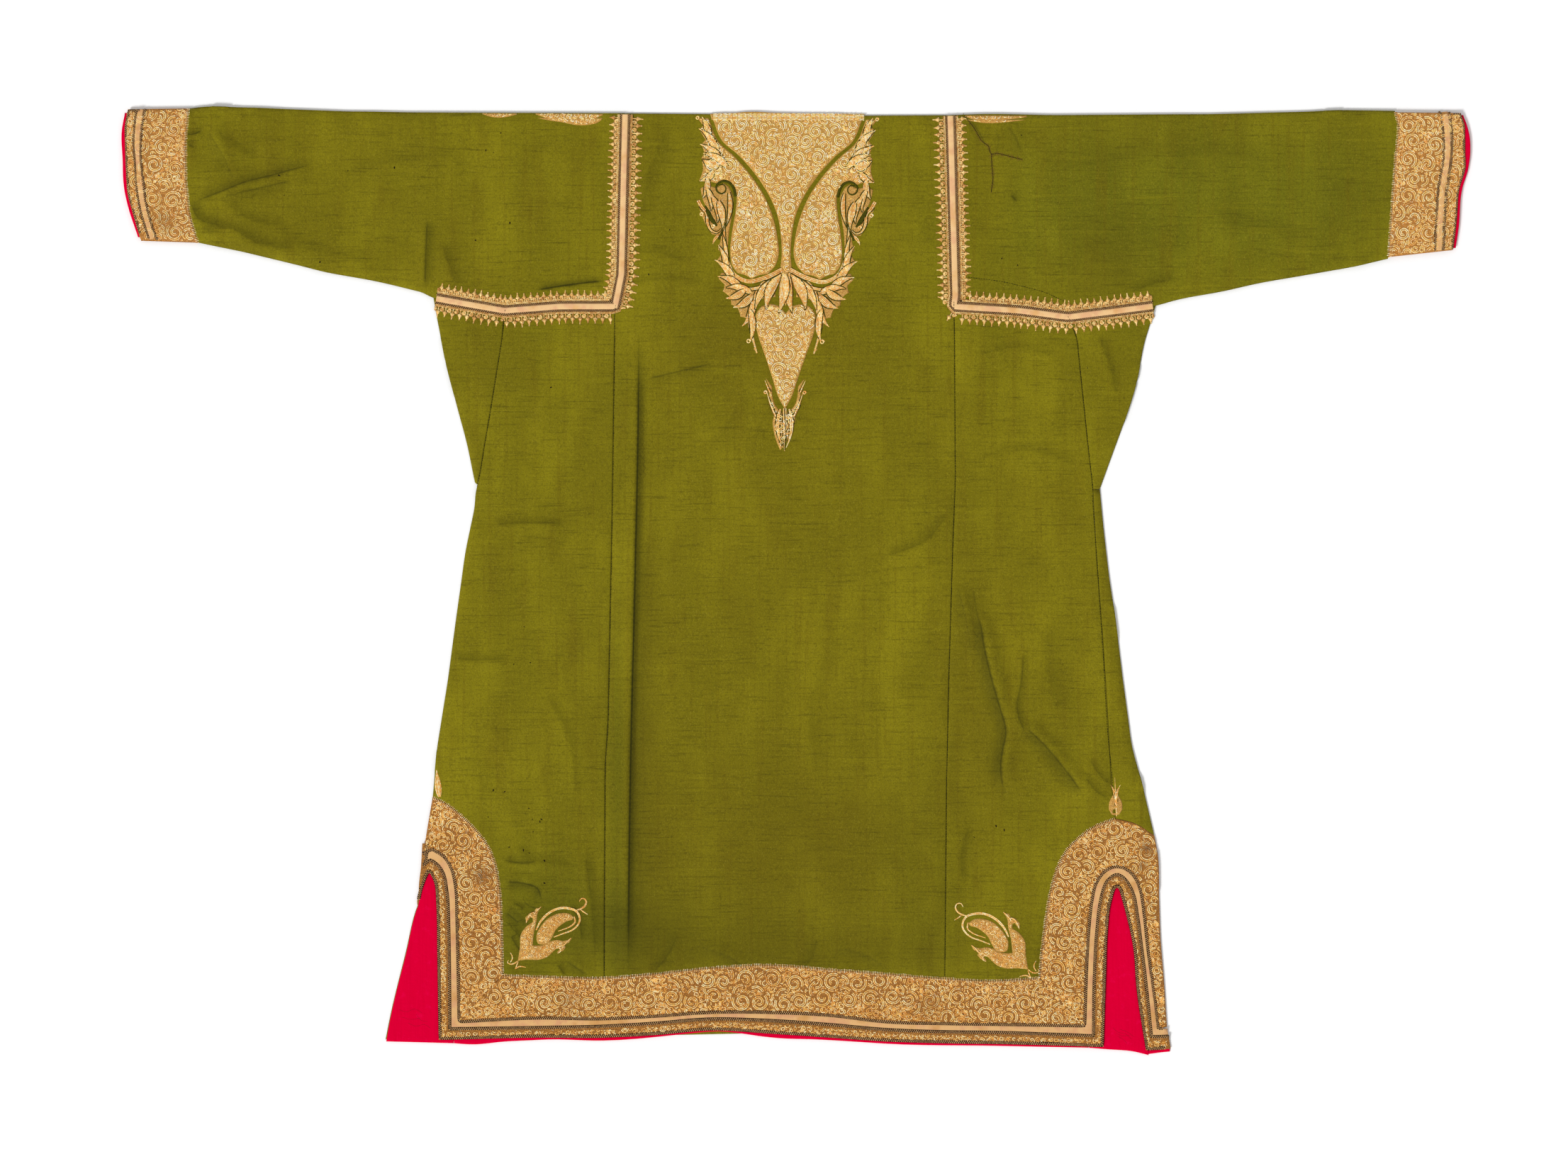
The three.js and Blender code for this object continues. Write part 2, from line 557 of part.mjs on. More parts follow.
// The silk tube inside a cuff: shorter than the cuff, clear of its folds and standing out of its mouth
function cuffLiningPlan(free, outward) {
  const clear = (points) => points.map(({ x, y }, k) => {
    const shift = { 0: -cuffLiningClear, [points.length - 1]: cuffLiningClear }[k] ?? 0;
    return { x, y: y + shift };
  });
  const mouth = clear(moveAlongX(free, outward * cuffLiningReach));
  const inside = clear(moveAlongX(free, -outward * cuffLiningDepth));
  return { ...cuffPlan(mouth, inside), across: 1 };
}

function addSleeve(side, { shoulder, under, cuffSeam, armhole, cuffEdge, outward }) {
  add(`sleeve_${side}`, tube(sleevePlan({ shoulder, under, cuffSeam, armhole }), {
    wall: clothWall,
    heightAt: heightFromCuff,
    riseAt: foldRise,
  }), greenCloth);
  add(`cuff_${side}`, tube(shrink(plan(cuffPlan(cuffEdge, cuffSeam)), seamGap / 2), {
    wall: cuffWall,
    heightAt: () => cuffHeight,
  }), goldWork);
  const liningHeight = cuffHeight - 2 * (cuffWall + seamGap);
  add(`cuff_lining_${side}`, tube(plan(cuffLiningPlan(cuffEdge, outward)), {
    wall: liningWall,
    lift: cuffWall + seamGap,
    heightAt: () => liningHeight,
  }), pinkSilk);
}

// ---- borders ----

function band(stations, fromKey, toKey, wall, across) {
  const [from, to] = [borderRail(stations, fromKey), borderRail(stations, toKey)];
  const grid = from.map((start, k) => across.map((t) => mixPoint(start, to[k], t)));
  return layer(grid, wall, backUnderside);
}

function addBorders() {
  add('vent_border_left', band(ventStationsLeft, 'panel', 'inner', goldWall, borderAcross), goldWork);
  add('hem_border', band(hemStations, 'panel', 'inner', goldWall, [0, 0.5, 1]), goldWork);
  add('vent_border_right', band(ventStationsRight, 'panel', 'inner', goldWall, borderAcross), goldWork);
  const alongHem = [...ventStationsLeft, ...hemStations.slice(1), ...ventStationsRight.slice(1)];
  const wholeRun = [...alongHem, ...legEndRight];
  add('border_tape', band(wholeRun, 'inner', 'outer', tapeWall, [0, 1]), plainTape);
  add('border_edging', band(wholeRun, 'outer', 'free', goldWall, [0, 1]), goldWork);
}

// ---- armhole braids ----

// Stations down the armhole, round the corner and out along the underarm seam
function addBraid(side, armhole, under, sign) {
  const corner = armhole.at(-1);
  const down = edge(armhole);
  const out = edge(reversed(under));
  const normalAt = (walk, t) => {
    const [a, b] = [walk.at(Math.max(0, t - normalReach)), walk.at(Math.min(1, t + normalReach))];
    const run = between(a, b);
    return { x: (b.y - a.y) / run, y: -(b.x - a.x) / run };
  };
  const stations = [];
  const walkDown = down.total - braidStart - braidTip - braidPitch / 2;
  const downCount = Math.round(walkDown / (braidPitch / 2));
  for (let k = 0; k <= downCount; k += 1) {
    const t = (braidStart + (walkDown * k) / downCount) / down.total;
    stations.push({ at: down.at(t), normal: normalAt(down, t), half: k % 2 ? braidTip : braidValley });
  }
  stations.push({ at: corner, normal: { x: -sign, y: -1 }, half: braidValley });
  const walkOut = out.total - braidEnd - braidTip - braidPitch / 2;
  const outCount = Math.round(walkOut / (braidPitch / 2));
  for (let k = 0; k <= outCount; k += 1) {
    const t = (braidTip + braidPitch / 2 + (walkOut * k) / outCount) / out.total;
    stations.push({ at: out.at(t), normal: normalAt(out, t), half: k % 2 ? braidTip : braidValley });
  }
  const rail = (turn) => stations.map(({ at, normal, half }) => {
    const flip = Math.sign(normal.x * -sign + normal.y * -1) || 1;
    return { x: at.x + normal.x * half * turn * flip, y: at.y + normal.y * half * turn * flip };
  });
  const [one, other] = [rail(1), rail(-1)];
  const grid = one.map((p, k) => [p, other[k]]);
  const lift = backTop + seamGap;
  const at = (z) => grid.map((row) => row.map(({ x, y }) => new THREE.Vector3(x, y, z)));
  add(`armhole_braid_${side}`, shell(at(lift + braidWall), at(lift)), goldWork);
}

// ---- raised motifs ----

function addMotifs() {
  const lift = backTop + seamGap;
  const settle = ({ x, y }) => ({
    x: motifAxis + x * Math.cos(motifTilt) - y * Math.sin(motifTilt),
    y: motifTop + x * Math.sin(motifTilt) + y * Math.cos(motifTilt),
  });
  const motif = (name, points) => add(name, raised(points.map(settle), motifWall, lift), goldWork);
  motif('neck_field', bothHalves(fieldHalf));
  motif('neck_boteh_right', botehOutline);
  motif('neck_boteh_left', mirrored(botehOutline));
  motif('neck_scroll_right', scrollOutline);
  motif('neck_scroll_left', mirrored(scrollOutline));
  motif('neck_leaves_right', leavesOutline);
  motif('neck_leaves_left', mirrored(leavesOutline));
  motif('neck_heart', bothHalves(heartHalf));
  const lean = ({ x, y }) => ({ x: x + Math.min(0, y - finialRoot) * finialLean, y });
  motif('neck_finial', bothHalves(finialHalf).map(lean));
  for (const { side, x, y, turn, grow } of paisleyPlaces) {
    const placed = (points) => points.map((p) => ({ x: x + turn * grow * p.x, y: y + grow * p.y }));
    add(`paisley_leaf_${side}`, raised(placed(paisleyLeaf), motifWall, lift), goldWork);
    add(`paisley_bud_${side}`, raised(placed(paisleyBud), motifWall, lift), goldWork);
  }
  const bud = budOutline.map((p) => ({ x: p.x + budPlace.x, y: p.y + budPlace.y }));
  add('leaf_bud_right', raised(bud, motifWall, lift), goldWork);
  add('epaulette_left', raised(epauletteLeft, motifWall, lift), goldWork);
  add('epaulette_right', raised(epauletteRight, motifWall, lift), goldWork);
}

// ---- fronts and facings under the back ----

const hemFrontY = { outerLeft: -612, seamLeft: -608, middle: -603, seamRight: -615, outerRight: -618 };
const frontTop = 613;

const openingAt = (turn) => [
  ...neckHalf.map(({ x, y }) => ({ x: frontMiddle + turn * x, y })),
  { x: frontMiddle + turn * frontOpening, y: hemFrontY.middle },
];

function addFronts() {
  const seamLeft = line([[-236, 364], [-249, -184], [-254, hemFrontY.seamLeft]]);
  const seamRight = line([[209, 364], [206, -127], [200, hemFrontY.seamRight]]);
  const front = (spec) => flatSheet({ across: 3, down: 5, ...spec }, frontWall, 0);
  const [openingLeft, openingRight] = [openingAt(-1), openingAt(1)];
  add('front_centre_left', front({
    top: [{ x: -220, y: frontTop }, openingLeft[0]],
    bottom: [seamLeft.at(-1), openingLeft.at(-1)],
    left: joined(line([[-220, frontTop], [-225, 408], [-236, 364]]), seamLeft),
    right: openingLeft,
  }), greenCloth);
  add('front_centre_right', front({
    top: [openingRight[0], { x: 201, y: frontTop }],
    bottom: [openingRight.at(-1), seamRight.at(-1)],
    left: openingRight,
    right: joined(line([[201, frontTop], [207, 385], [209, 364]]), seamRight),
  }), greenCloth);
  const foldedLeft = joined(sideLeftUpper.slice(0, -1), sideLeftLower, ventFoldLeft.slice(0, -1));
  const sideLeft = moveAlongX(foldedLeft, foldClear);
  const legLeft = line([[-484, -396], [-501.5, -427.5], [-520.5, -499.5], [-541, -584],
    [-546.5, hemFrontY.outerLeft]]);
  const leftEdge = [{ x: -474, y: 366 }, ...sideLeft.slice(1), ...legLeft];
  add('front_side_left', front({
    top: line([[-474, 366], [-390, 356], [-236, 362]]),
    bottom: line([[-546.5, hemFrontY.outerLeft], [-254, hemFrontY.seamLeft]]),
    left: leftEdge,
    right: [{ x: -236, y: 362 }, ...seamLeft.slice(1)],
  }), greenCloth);
  const foldedRight = joined(sideRightUpper, sideRightLower, ventFoldRight.slice(0, -1));
  const sideRight = moveAlongX(foldedRight, -foldClear);
  const rightEdge = [{ x: 472, y: 358 }, ...sideRight.slice(1), { x: 492, y: hemFrontY.outerRight }];
  add('front_side_right', front({
    top: line([[209, 362], [365, 347], [472, 358]]),
    bottom: line([[200, hemFrontY.seamRight], [492, hemFrontY.outerRight]]),
    left: [{ x: 209, y: 362 }, ...seamRight.slice(1)],
    right: rightEdge,
  }), greenCloth);
}

function addFacings() {
  const facing = (spec) => flatSheet({ across: 2, down: 2, ...spec }, liningWall, liningLift);
  add('vent_facing_left', facing({
    top: line([[-478, -375], [-455, -375]]),
    bottom: line([[-545.5, -614.5], [-455, -617]]),
    left: line([[-478, -375], [-484, -400], [-500.5, -428], [-519.5, -499.5], [-540, -584],
      [-545.5, -614.5]]),
    right: line([[-455, -375], [-455, -617]]),
  }), pinkSilk);
  add('vent_facing_right', facing({
    top: line([[410, -385], [442, -395]]),
    bottom: line([[392, -623], [416, -625], [452, -628], [472, -632.8]]),
    left: line([[410, -385], [392, -470], [392, -623]]),
    right: line([[442, -395], [455, -430], [466, -490], [470, -560], [472, -632.8]]),
  }), pinkSilk);
  add('hem_facing', facing({
    top: line([[-455, -597], [-348, -594], [-115, -585], [-33, -588], [120, -598], [272, -602],
      [392, -606]]),
    bottom: line([[-455, -617], [-433, -618.5], [-384, -614.5], [-330, -612], [-257, -613.5],
      [-115, -601.5], [-24, -610], [30, -612], [120, -617.5], [272, -620.5], [392, -623]]),
    left: line([[-455, -597], [-455, -617]]),
    right: line([[392, -606], [392, -623]]),
    down: 1,
  }), pinkSilk);
}

addBack();
addSleeve('left', {
  shoulder: shoulderLeft,
  under: joined(underSleeveLeft, braidSeamLeft),
  cuffSeam: cuffSeamLeft,
  armhole: armholeLeft,
  cuffEdge: cuffEdgeLeft,
  outward: -1,
});
addSleeve('right', {
  shoulder: reversed(shoulderRight),
  under: joined(underSleeveRight, braidSeamRight),
  cuffSeam: cuffSeamRight,
  armhole: armholeRight,
  cuffEdge: cuffEdgeRight,
  outward: 1,
});
addBorders();
addBraid('left', armholeLeft, braidSeamLeft, -1);
addBraid('right', armholeRight, braidSeamRight, 1);
addMotifs();
addFronts();
addFacings();

export default robe;
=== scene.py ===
# A choga robe laid flat with its back upward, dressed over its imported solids.
import math
import bpy
import numpy as np
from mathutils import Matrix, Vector
from mathutils.bvhtree import BVHTree
from mathutils.geometry import delaunay_2d_cdt


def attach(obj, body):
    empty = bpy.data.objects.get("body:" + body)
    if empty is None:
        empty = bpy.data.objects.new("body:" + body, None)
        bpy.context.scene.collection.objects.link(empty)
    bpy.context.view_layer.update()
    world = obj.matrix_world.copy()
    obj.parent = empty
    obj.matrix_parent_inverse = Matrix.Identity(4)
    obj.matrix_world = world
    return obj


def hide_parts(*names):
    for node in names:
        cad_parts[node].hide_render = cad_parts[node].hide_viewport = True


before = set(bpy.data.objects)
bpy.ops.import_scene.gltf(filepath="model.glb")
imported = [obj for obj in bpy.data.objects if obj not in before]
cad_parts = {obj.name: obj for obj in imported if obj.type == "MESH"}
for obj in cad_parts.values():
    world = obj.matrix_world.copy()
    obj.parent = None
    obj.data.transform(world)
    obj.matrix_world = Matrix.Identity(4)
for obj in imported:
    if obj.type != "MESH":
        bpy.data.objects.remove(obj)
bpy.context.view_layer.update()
mm = 0.001
rng = np.random.default_rng(11)
scene = bpy.context.scene
print("frame loaded,", len(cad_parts), "nodes")


# outlines and paths are rows of x and y in millimetres
def route(*points):
    return np.array(points, float)


def cross(a, b):
    return a[..., 0] * b[..., 1] - a[..., 1] * b[..., 0]


def loopArea(loop):
    return cross(loop, np.roll(loop, -1, 0)).sum() / 2


def runLength(points):
    return np.concatenate([[0], np.cumsum(np.hypot(*np.diff(points, axis=0).T))])


def along(points, count):
    run = runLength(points)
    at = np.linspace(0, run[-1], count)
    return np.column_stack([np.interp(at, run, points[:, k]) for k in range(2)])


def spaced(points, step):
    return along(points, max(2, round(runLength(points)[-1] / step) + 1))


def flow(points, each=6):
    # a soft curve through all the points
    points = np.asarray(points, float)
    if len(points) < 3:
        return points
    run = runLength(points)
    slopes = np.gradient(points, run, axis=0)
    out = []
    for k in range(len(points) - 1):
        t = np.linspace(0, 1, each, endpoint=False)[:, None]
        gap = run[k + 1] - run[k]
        out.append(
            (2 * t**3 - 3 * t**2 + 1) * points[k] + (t**3 - 2 * t**2 + t) * gap * slopes[k]
            + (3 * t**2 - 2 * t**3) * points[k + 1] + (t**3 - t**2) * gap * slopes[k + 1]
        )
    return np.vstack(out + [points[-1:]])


def roundLoop(loop, step, corner=32):
    # softens a closed outline between its real corners and spaces its points evenly
    before, after = loop - np.roll(loop, 1, 0), np.roll(loop, -1, 0) - loop
    turn = np.degrees(np.arctan2(cross(before, after), (before * after).sum(1)))
    corners = np.flatnonzero(np.abs(turn) > corner)
    if len(corners) == 0:
        corners = np.array([0])
    parts = []
    for k, start in enumerate(corners):
        end = corners[(k + 1) % len(corners)]
        count = (end - start) % len(loop) or len(loop)
        piece = loop[(start + np.arange(count + 1)) % len(loop)]
        parts.append(spaced(flow(piece), step)[:-1])
    return np.vstack(parts)


def closest(points, path, closed=False):
    # distance, side (left positive) and share of the length at each point's nearest spot on a path
    path = np.vstack([path, path[:1]]) if closed else path
    start, step = path[:-1], np.diff(path, axis=0)
    square = (step**2).sum(1) + 1e-12
    run = runLength(path)
    best = np.full(len(points), 1e9)
    side = np.zeros(len(points))
    share = np.zeros(len(points))
    for k in range(len(start)):
        off = points - start[k]
        t = np.clip((off @ step[k]) / square[k], 0, 1)
        gap = np.hypot(*(off - t[:, None] * step[k]).T)
        near = gap < best
        best[near] = gap[near]
        side[near] = np.sign(step[k, 0] * off[near, 1] - step[k, 1] * off[near, 0])
        share[near] = (run[k] + t[near] * (run[k + 1] - run[k])) / run[-1]
    return best, side, share


def inside(points, loop):
    result = np.zeros(len(points), bool)
    x, y = points.T
    for a, b in zip(loop, np.roll(loop, -1, 0)):
        if a[1] == b[1]:
            continue
        crosses = (a[1] > y) != (b[1] > y)
        result ^= crosses & (x < (b[0] - a[0]) * (y - a[1]) / (b[1] - a[1]) + a[0])
    return result


def depthIn(points, loop):
    gap = closest(points, loop, True)[0]
    return np.where(inside(points, loop), gap, -gap)


def ease(t):
    t = np.clip(t, 0, 1)
    return t * t * (3 - 2 * t)


def inward(loop, by):
    step = np.roll(loop, -1, 0) - np.roll(loop, 1, 0)
    step /= np.hypot(*step.T)[:, None] + 1e-9
    moved = loop + by * np.column_stack([-step[:, 1], step[:, 0]])
    return moved[depthIn(moved, loop) > by * 0.8]


def offset(path, by):
    # to the left of the way it runs
    way = np.gradient(path, axis=0)
    way /= np.hypot(*way.T)[:, None] + 1e-9
    return path + by * np.column_stack([-way[:, 1], way[:, 0]])


def rotated(u, v, angle):
    c, s = math.cos(angle), math.sin(angle)
    return np.column_stack([u * c - v * s, u * s + v * c])


def nearBox(points, path, reach):
    # which points lie in the upright box round a path, widened by reach
    return np.all((points > path.min(0) - reach) & (points < path.max(0) + reach), axis=1)


def honeycomb(low, high, pitch):
    # rows of points, every other row half a step along
    rows = np.arange(low[1], high[1], pitch * 0.87)
    x, y = np.meshgrid(np.arange(low[0], high[0], pitch), rows)
    x += (np.arange(len(rows)) % 2)[:, None] * pitch / 2
    return np.column_stack([x.ravel(), y.ravel()])


def gridIn(loop, pitch, clear):
    points = honeycomb(loop.min(0) + pitch / 2, loop.max(0), pitch)
    points = points[inside(points, loop)]
    return points[closest(points, loop, True)[0] > clear]


def trianglesOf(node):
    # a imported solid's points in millimetres, those that meet made one, and its triangles
    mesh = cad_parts[node].data
    mesh.calc_loop_triangles()
    spots = np.array([v.co for v in mesh.vertices]) / mm
    index = np.array([t.vertices for t in mesh.loop_triangles])
    spots, merged = np.unique(np.round(spots, 3), axis=0, return_inverse=True)
    return spots, merged.ravel()[index]


def outlineOf(node):
    # the largest loop round the faces that look up
    spots, index = trianglesOf(node)
    a, b, c = (spots[index[:, k]] for k in range(3))
    normal = np.cross(b - a, c - a)
    up = normal[:, 2] > 0.2 * np.linalg.norm(normal, axis=1)
    edges = {(t[k], t[(k + 1) % 3]) for t in index[up].tolist() for k in range(3)}
    follow = {p: q for p, q in edges if (q, p) not in edges}
    loops = []
    while follow:
        start, at = follow.popitem()
        loop = [start]
        while at != start and at in follow:
            loop.append(at)
            at = follow.pop(at)
        loops.append(spots[loop][:, :2])
    best = max(loops, key=lambda loop: abs(loopArea(loop)))
    return best if loopArea(best) > 0 else best[::-1]


def meshOf(made):
    # a piece's points in millimetres and its faces as triangles
    made.data.calc_loop_triangles()
    spots = np.empty(len(made.data.vertices) * 3, np.float32)
    made.data.vertices.foreach_get("co", spots)
    faces = np.empty(len(made.data.loop_triangles) * 3, np.int32)
    made.data.loop_triangles.foreach_get("vertices", faces)
    return spots.reshape(-1, 3).astype(float) / mm, faces.reshape(-1, 3)


# where rays start, above and below the whole robe
overhead, beneath = 40.0, -20.0


class Ground:
    # what already lies there, so that the next layer can be set on it

    def __init__(self):
        self.spots, self.faces, self.tree = [], [], None

    def add(self, spots, faces):
        base = sum(len(s) for s in self.spots)
        self.spots.append(spots)
        self.faces += (np.asarray(faces) + base).tolist()
        self.tree = None

    def height(self, points, fall):
        # the top of what lies under each point, or fall where nothing does
        if self.tree is None:
            self.tree = BVHTree.FromPolygons(np.vstack(self.spots).tolist(), self.faces)
        found = np.full(len(points), fall)
        down = Vector((0, 0, -1))
        for k, (x, y) in enumerate(points):
            hit = self.tree.ray_cast(Vector((x, y, overhead)), down)[0]
            if hit is not None:
                found[k] = hit.z
        return found


ground = Ground()


# each fold: width, rise, darkness, sharpness and its line; darkness is painted shade on the fold's dark
# side, sharpness a painted dark line along it; the dark side is on the left of the line
foldList = {
    "sleeveLeft": [
        (5, 1.2, 0.9, 1, [(-345, 388), (-300, 395), (-276, 398), (-255, 400)]),
        (9, 2.6, 0.5, 1, [(-801, 505), (-756, 522), (-734, 531), (-696, 541), (-646, 555)]),
        (8, 2.2, 0.4, 1, [(-670, 534), (-699, 527), (-738, 518), (-765, 514)]),
        (10, 2, 0.3, 0.6, [(-745, 528), (-762, 566), (-785, 603)]),
        (14, 1.6, 0.25, 0, [(-775, 601), (-745, 577), (-716, 564)]),
        (12, 2.6, 0.6, 0.4, [(-806, 507), (-793, 482), (-762, 474)]),
        (12, 2.4, 0.5, 0.3, [(-793, 462), (-758, 472), (-716, 451), (-663, 442)]),
        (5, 1.2, 0.6, 1, [(-812, 595), (-799, 596), (-790, 601)]),
        (5, 1.2, 0.5, 1, [(-810, 583), (-800, 577)]),
        (9, 2.4, 0.6, 0.8, [(-490, 482), (-492, 434), (-493, 392)]),
        (10, 2, 0.35, 0.3, [(-470, 450), (-460, 420), (-452, 396)]),
        (12, 2, 0.3, 0.3, [(-790, 446), (-740, 430), (-690, 424)]),
        (10, 1.6, 0.25, 0.2, [(-760, 505), (-720, 480), (-672, 474)]),
        (14, 1.6, 0.18, 0.2, [(-598, 546), (-530, 559), (-445, 570)]),
        (16, 1.8, 0.15, 0, [(-700, 470), (-640, 440), (-560, 424)]),
    ],
    "sideLeft": [
        (8, 2.2, 0.3, 0.6, [(-402, 76), (-356, 78), (-308, 76)]),
        (8, 2, 0.3, 0.6, [(-458, -103), (-417, -105), (-383, -103)]),
        (8, 2.2, 0.8, 0.8, [(-338, -425), (-343, -410), (-362, -403), (-385, -401)]),
        (5, 1.4, 0.4, 0.9, [(-342, -438), (-366, -428)]),
        (8, 1.8, 0.6, 0.6, [(-354, -459), (-379, -433)]),
        (6, 1.6, 0.6, 0.8, [(-365, -458), (-386, -441)]),
        (4, 1.2, 0.4, 1, [(-375, -428), (-359, -438)]),
        (6, 1.6, 0.6, 0.5, [(-317, -511), (-307, -525)]),
        (6, 1.4, 0.55, 0.8, [(-388, -372), (-366, -376), (-344, -374)]),
        (6, 1.3, 0.5, 0.8, [(-384, -448), (-370, -470), (-352, -486)]),
        (5, 1.2, 0.5, 0.9, [(-380, -470), (-366, -492), (-344, -503)]),
        (6, 1.3, 0.45, 0.7, [(-300, -430), (-288, -452), (-283, -480)]),
        (9, 1.6, 0.35, 0.4, [(-280, -360), (-272, -420), (-266, -500)]),
        (8, 1.8, 0.6, 0.5, [(-278, -525), (-303, -508)]),
        (9, 1.6, 0.25, 0.3, [(-372, -355), (-345, -372), (-300, -378)]),
        (9, 1.5, 0.2, 0.3, [(-330, -150), (-300, -210), (-292, -290)]),
    ],
    "centre": [
        (11, 2.6, 0.35, 0.5, [(122, 33), (175, 55), (204, 89)]),
        (6, 1.2, 0.4, 1, [(-110, 290), (-152, 280), (-198, 269)]),
        (20, 1.6, 0.15, 0, [(-60, 250), (-110, 190), (-190, 150)]),
        (18, 1.4, 0.12, 0, [(60, -60), (20, -160), (30, -280)]),
        (9, 1.3, 0.2, 0.3, [(-232, 434), (-190, 440), (-140, 424)]),
        (9, 1.2, 0.2, 0.3, [(-232, 396), (-180, 402), (-120, 398)]),
        (14, 1.4, 0.2, 0.2, [(-170, 600), (-196, 540), (-206, 480)]),
        (7, 3.2, 0.95, 1, [(-208, 330), (-209, 200), (-213, 0), (-219, -250), (-221, -400), (-222, -524)]),
        (19, 1.0, 0.42, 0, [(-212, 100), (-218, -150), (-221, -400), (-222, -524)]),
        (8, 1.4, 0.35, 0.4, [(-60, -520), (-90, -500), (-128, -488)]),
        (8, 1.4, 0.3, 0.4, [(120, -516), (90, -497), (50, -490)]),
        (7, 1.4, 0.35, 0.5, [(-190, -523), (-170, -500), (-156, -470)]),
        (7, 1.2, 0.3, 0.5, [(10, -519), (24, -498), (30, -476)]),
    ],
    "sideRight": [
        (7, 1.3, 0.35, 0.5, [(300, -520), (290, -496), (286, -470)]),
        (6, 1.2, 0.35, 0.6, [(385, -520), (372, -500), (352, -486)]),
        (8, 1.2, 0.22, 0.3, [(240, 300), (290, 312), (352, 300)]),
        (9, 1.2, 0.2, 0.3, [(236, 160), (300, 176), (372, 160)]),
        (9, 1.6, 0.3, 0.4, [(404, 330), (420, 290), (428, 250)]),
        (7, 1.4, 0.35, 0.6, [(392, -236), (410, -262), (436, -280)]),
        (6, 1.2, 0.35, 0.6, [(388, -262), (402, -280), (418, -290)]),
        (12, 5, 0.85, 0.7, [(279, -284), (274, -246), (277, -223), (281, -203), (272, -166),
                            (261, -128), (252, -89), (244, -49), (237, -37)]),
        (7, 2, 0.4, 0.5, [(246, -60), (240, -28), (238, -10)]),
        (8, 2.4, 0.3, 0.5, [(235, -104), (232, -74), (225, -39), (216, -6)]),
        (7, 3, 0.35, 1, [(305, -95), (301, -140), (296, -168), (304, -196), (308, -206)]),
        (11, 4, 0.75, 0.6, [(384, -284), (358, -249), (328, -214), (305, -193)]),
        (22, 2, 0.2, 0, [(330, -60), (336, -120), (352, -180)]),
        (8, 1.4, 0.35, 0.3, [(232, -330), (222, -360), (224, -400)]),
    ],
    "sleeveRight": [
        (7, 1.6, 0.4, 0.9, [(254, 583), (243, 602), (232, 617)]),
        (8, 2, 0.4, 0.6, [(302, 570), (293, 594), (281, 609)]),
        (6, 1.4, 0.3, 0.5, [(268, 570), (272, 590), (264, 604)]),
        (5, 1.5, 0.6, 0.8, [(288, 514), (297, 506)]),
        (9, 2.4, 0.35, 0.5, [(446, 385), (476, 396), (509, 404)]),
        (24, 1.8, 0.12, 0, [(357, 547), (490, 571), (641, 564)]),
        (18, 1.8, 0.2, 0, [(560, 479), (631, 467), (700, 455)]),
        (18, 1.2, 0.12, 0, [(510, 600), (512, 500), (506, 430)]),
    ],
}
# a fold's form: parts of its width, of its rise for troughDeep, millimetres, and parts of its length
foldForm = {"reach": 3.2, "crest": 0.35, "trough": 0.55, "troughWide": 0.7, "shadeWide": 1.15,
            "troughDeep": 0.45,
            "edgeWide": 1.8, "sharpReach": 9.0,
            "fade": 0.16, "atEnd": 0.12, "tip": 0.002}
# a slow, small unevenness: wave length, height and direction; and how its crests wander
swell = [(310, 0.55, 24), (215, 0.5, 97), (148, 0.42, 141), (96, 0.3, 62), (61, 0.2, 8), (43, 0.14, 120)]
swellBend = {"depth": 1.7, "length": 2.3}


def swellAt(points):
    total = np.zeros(len(points))
    for length, height, heading in swell:
        way = np.array([math.cos(math.radians(heading)), math.sin(math.radians(heading))])
        square = np.array([-way[1], way[0]])
        bend = swellBend["depth"] * np.sin(
            points @ square * 2 * math.pi / (length * swellBend["length"]) + heading)
        total += height * np.sin(points @ way * 2 * math.pi / length + bend)
    return total


def foldsAt(points, groups):
    # height, signed distance to the sharp line, its strength, and the dark side's shade; the line and the
    # dark side are painted shade in the cloth's colour
    form = foldForm
    rise = np.zeros(len(points))
    side = np.full(len(points), form["sharpReach"])
    strength = np.zeros(len(points))
    dark = np.zeros(len(points))
    for width, height, shade, sharp, path in [fold for group in groups for fold in foldList[group]]:
        path = flow(path, 4)
        spots = np.flatnonzero(nearBox(points, path, width * form["reach"]))
        if len(spots) == 0:
            continue
        gap, hand, share = closest(points[spots], path)
        signed = gap * hand
        toEnd = np.minimum(share, 1 - share)
        fade = ease(toEnd / form["fade"] + form["atEnd"])
        crest = np.exp(-(((signed + form["crest"] * width) / width) ** 2))
        fromTrough = (signed - form["trough"] * width) / (form["troughWide"] * width)
        rise[spots] += height * fade * (crest - form["troughDeep"] * np.exp(-(fromTrough**2)))
        darkSide = np.exp(-((signed / (form["shadeWide"] * width)) ** 2))
        lightSide = np.exp(-((signed / form["edgeWide"]) ** 2))
        shadeHere = shade * fade * np.where(signed > 0, darkSide, lightSide)
        dark[spots] = np.maximum(dark[spots], shadeHere)
        here = sharp * shade * fade * (toEnd > form["tip"])
        stronger = (gap < form["sharpReach"]) & (here > strength[spots])
        side[spots[stronger]] = signed[stronger]
        strength[spots[stronger]] = here[stronger]
        untouched = (strength[spots] == 0) & (side[spots] == form["sharpReach"])
        side[spots[untouched]] = signed[untouched]
    return rise, side, strength, dark


def giveValues(mesh, values):
    # numbers at each point, for the finishes and the thread work to read
    for key, numbers in values.items():
        layer = mesh.attributes.new(key, "FLOAT", "POINT")
        layer.data.foreach_set("value", np.asarray(numbers, np.float32))


def putInScene(name, data):
    made = bpy.data.objects.new(name, data)
    scene.collection.objects.link(made)
    return made


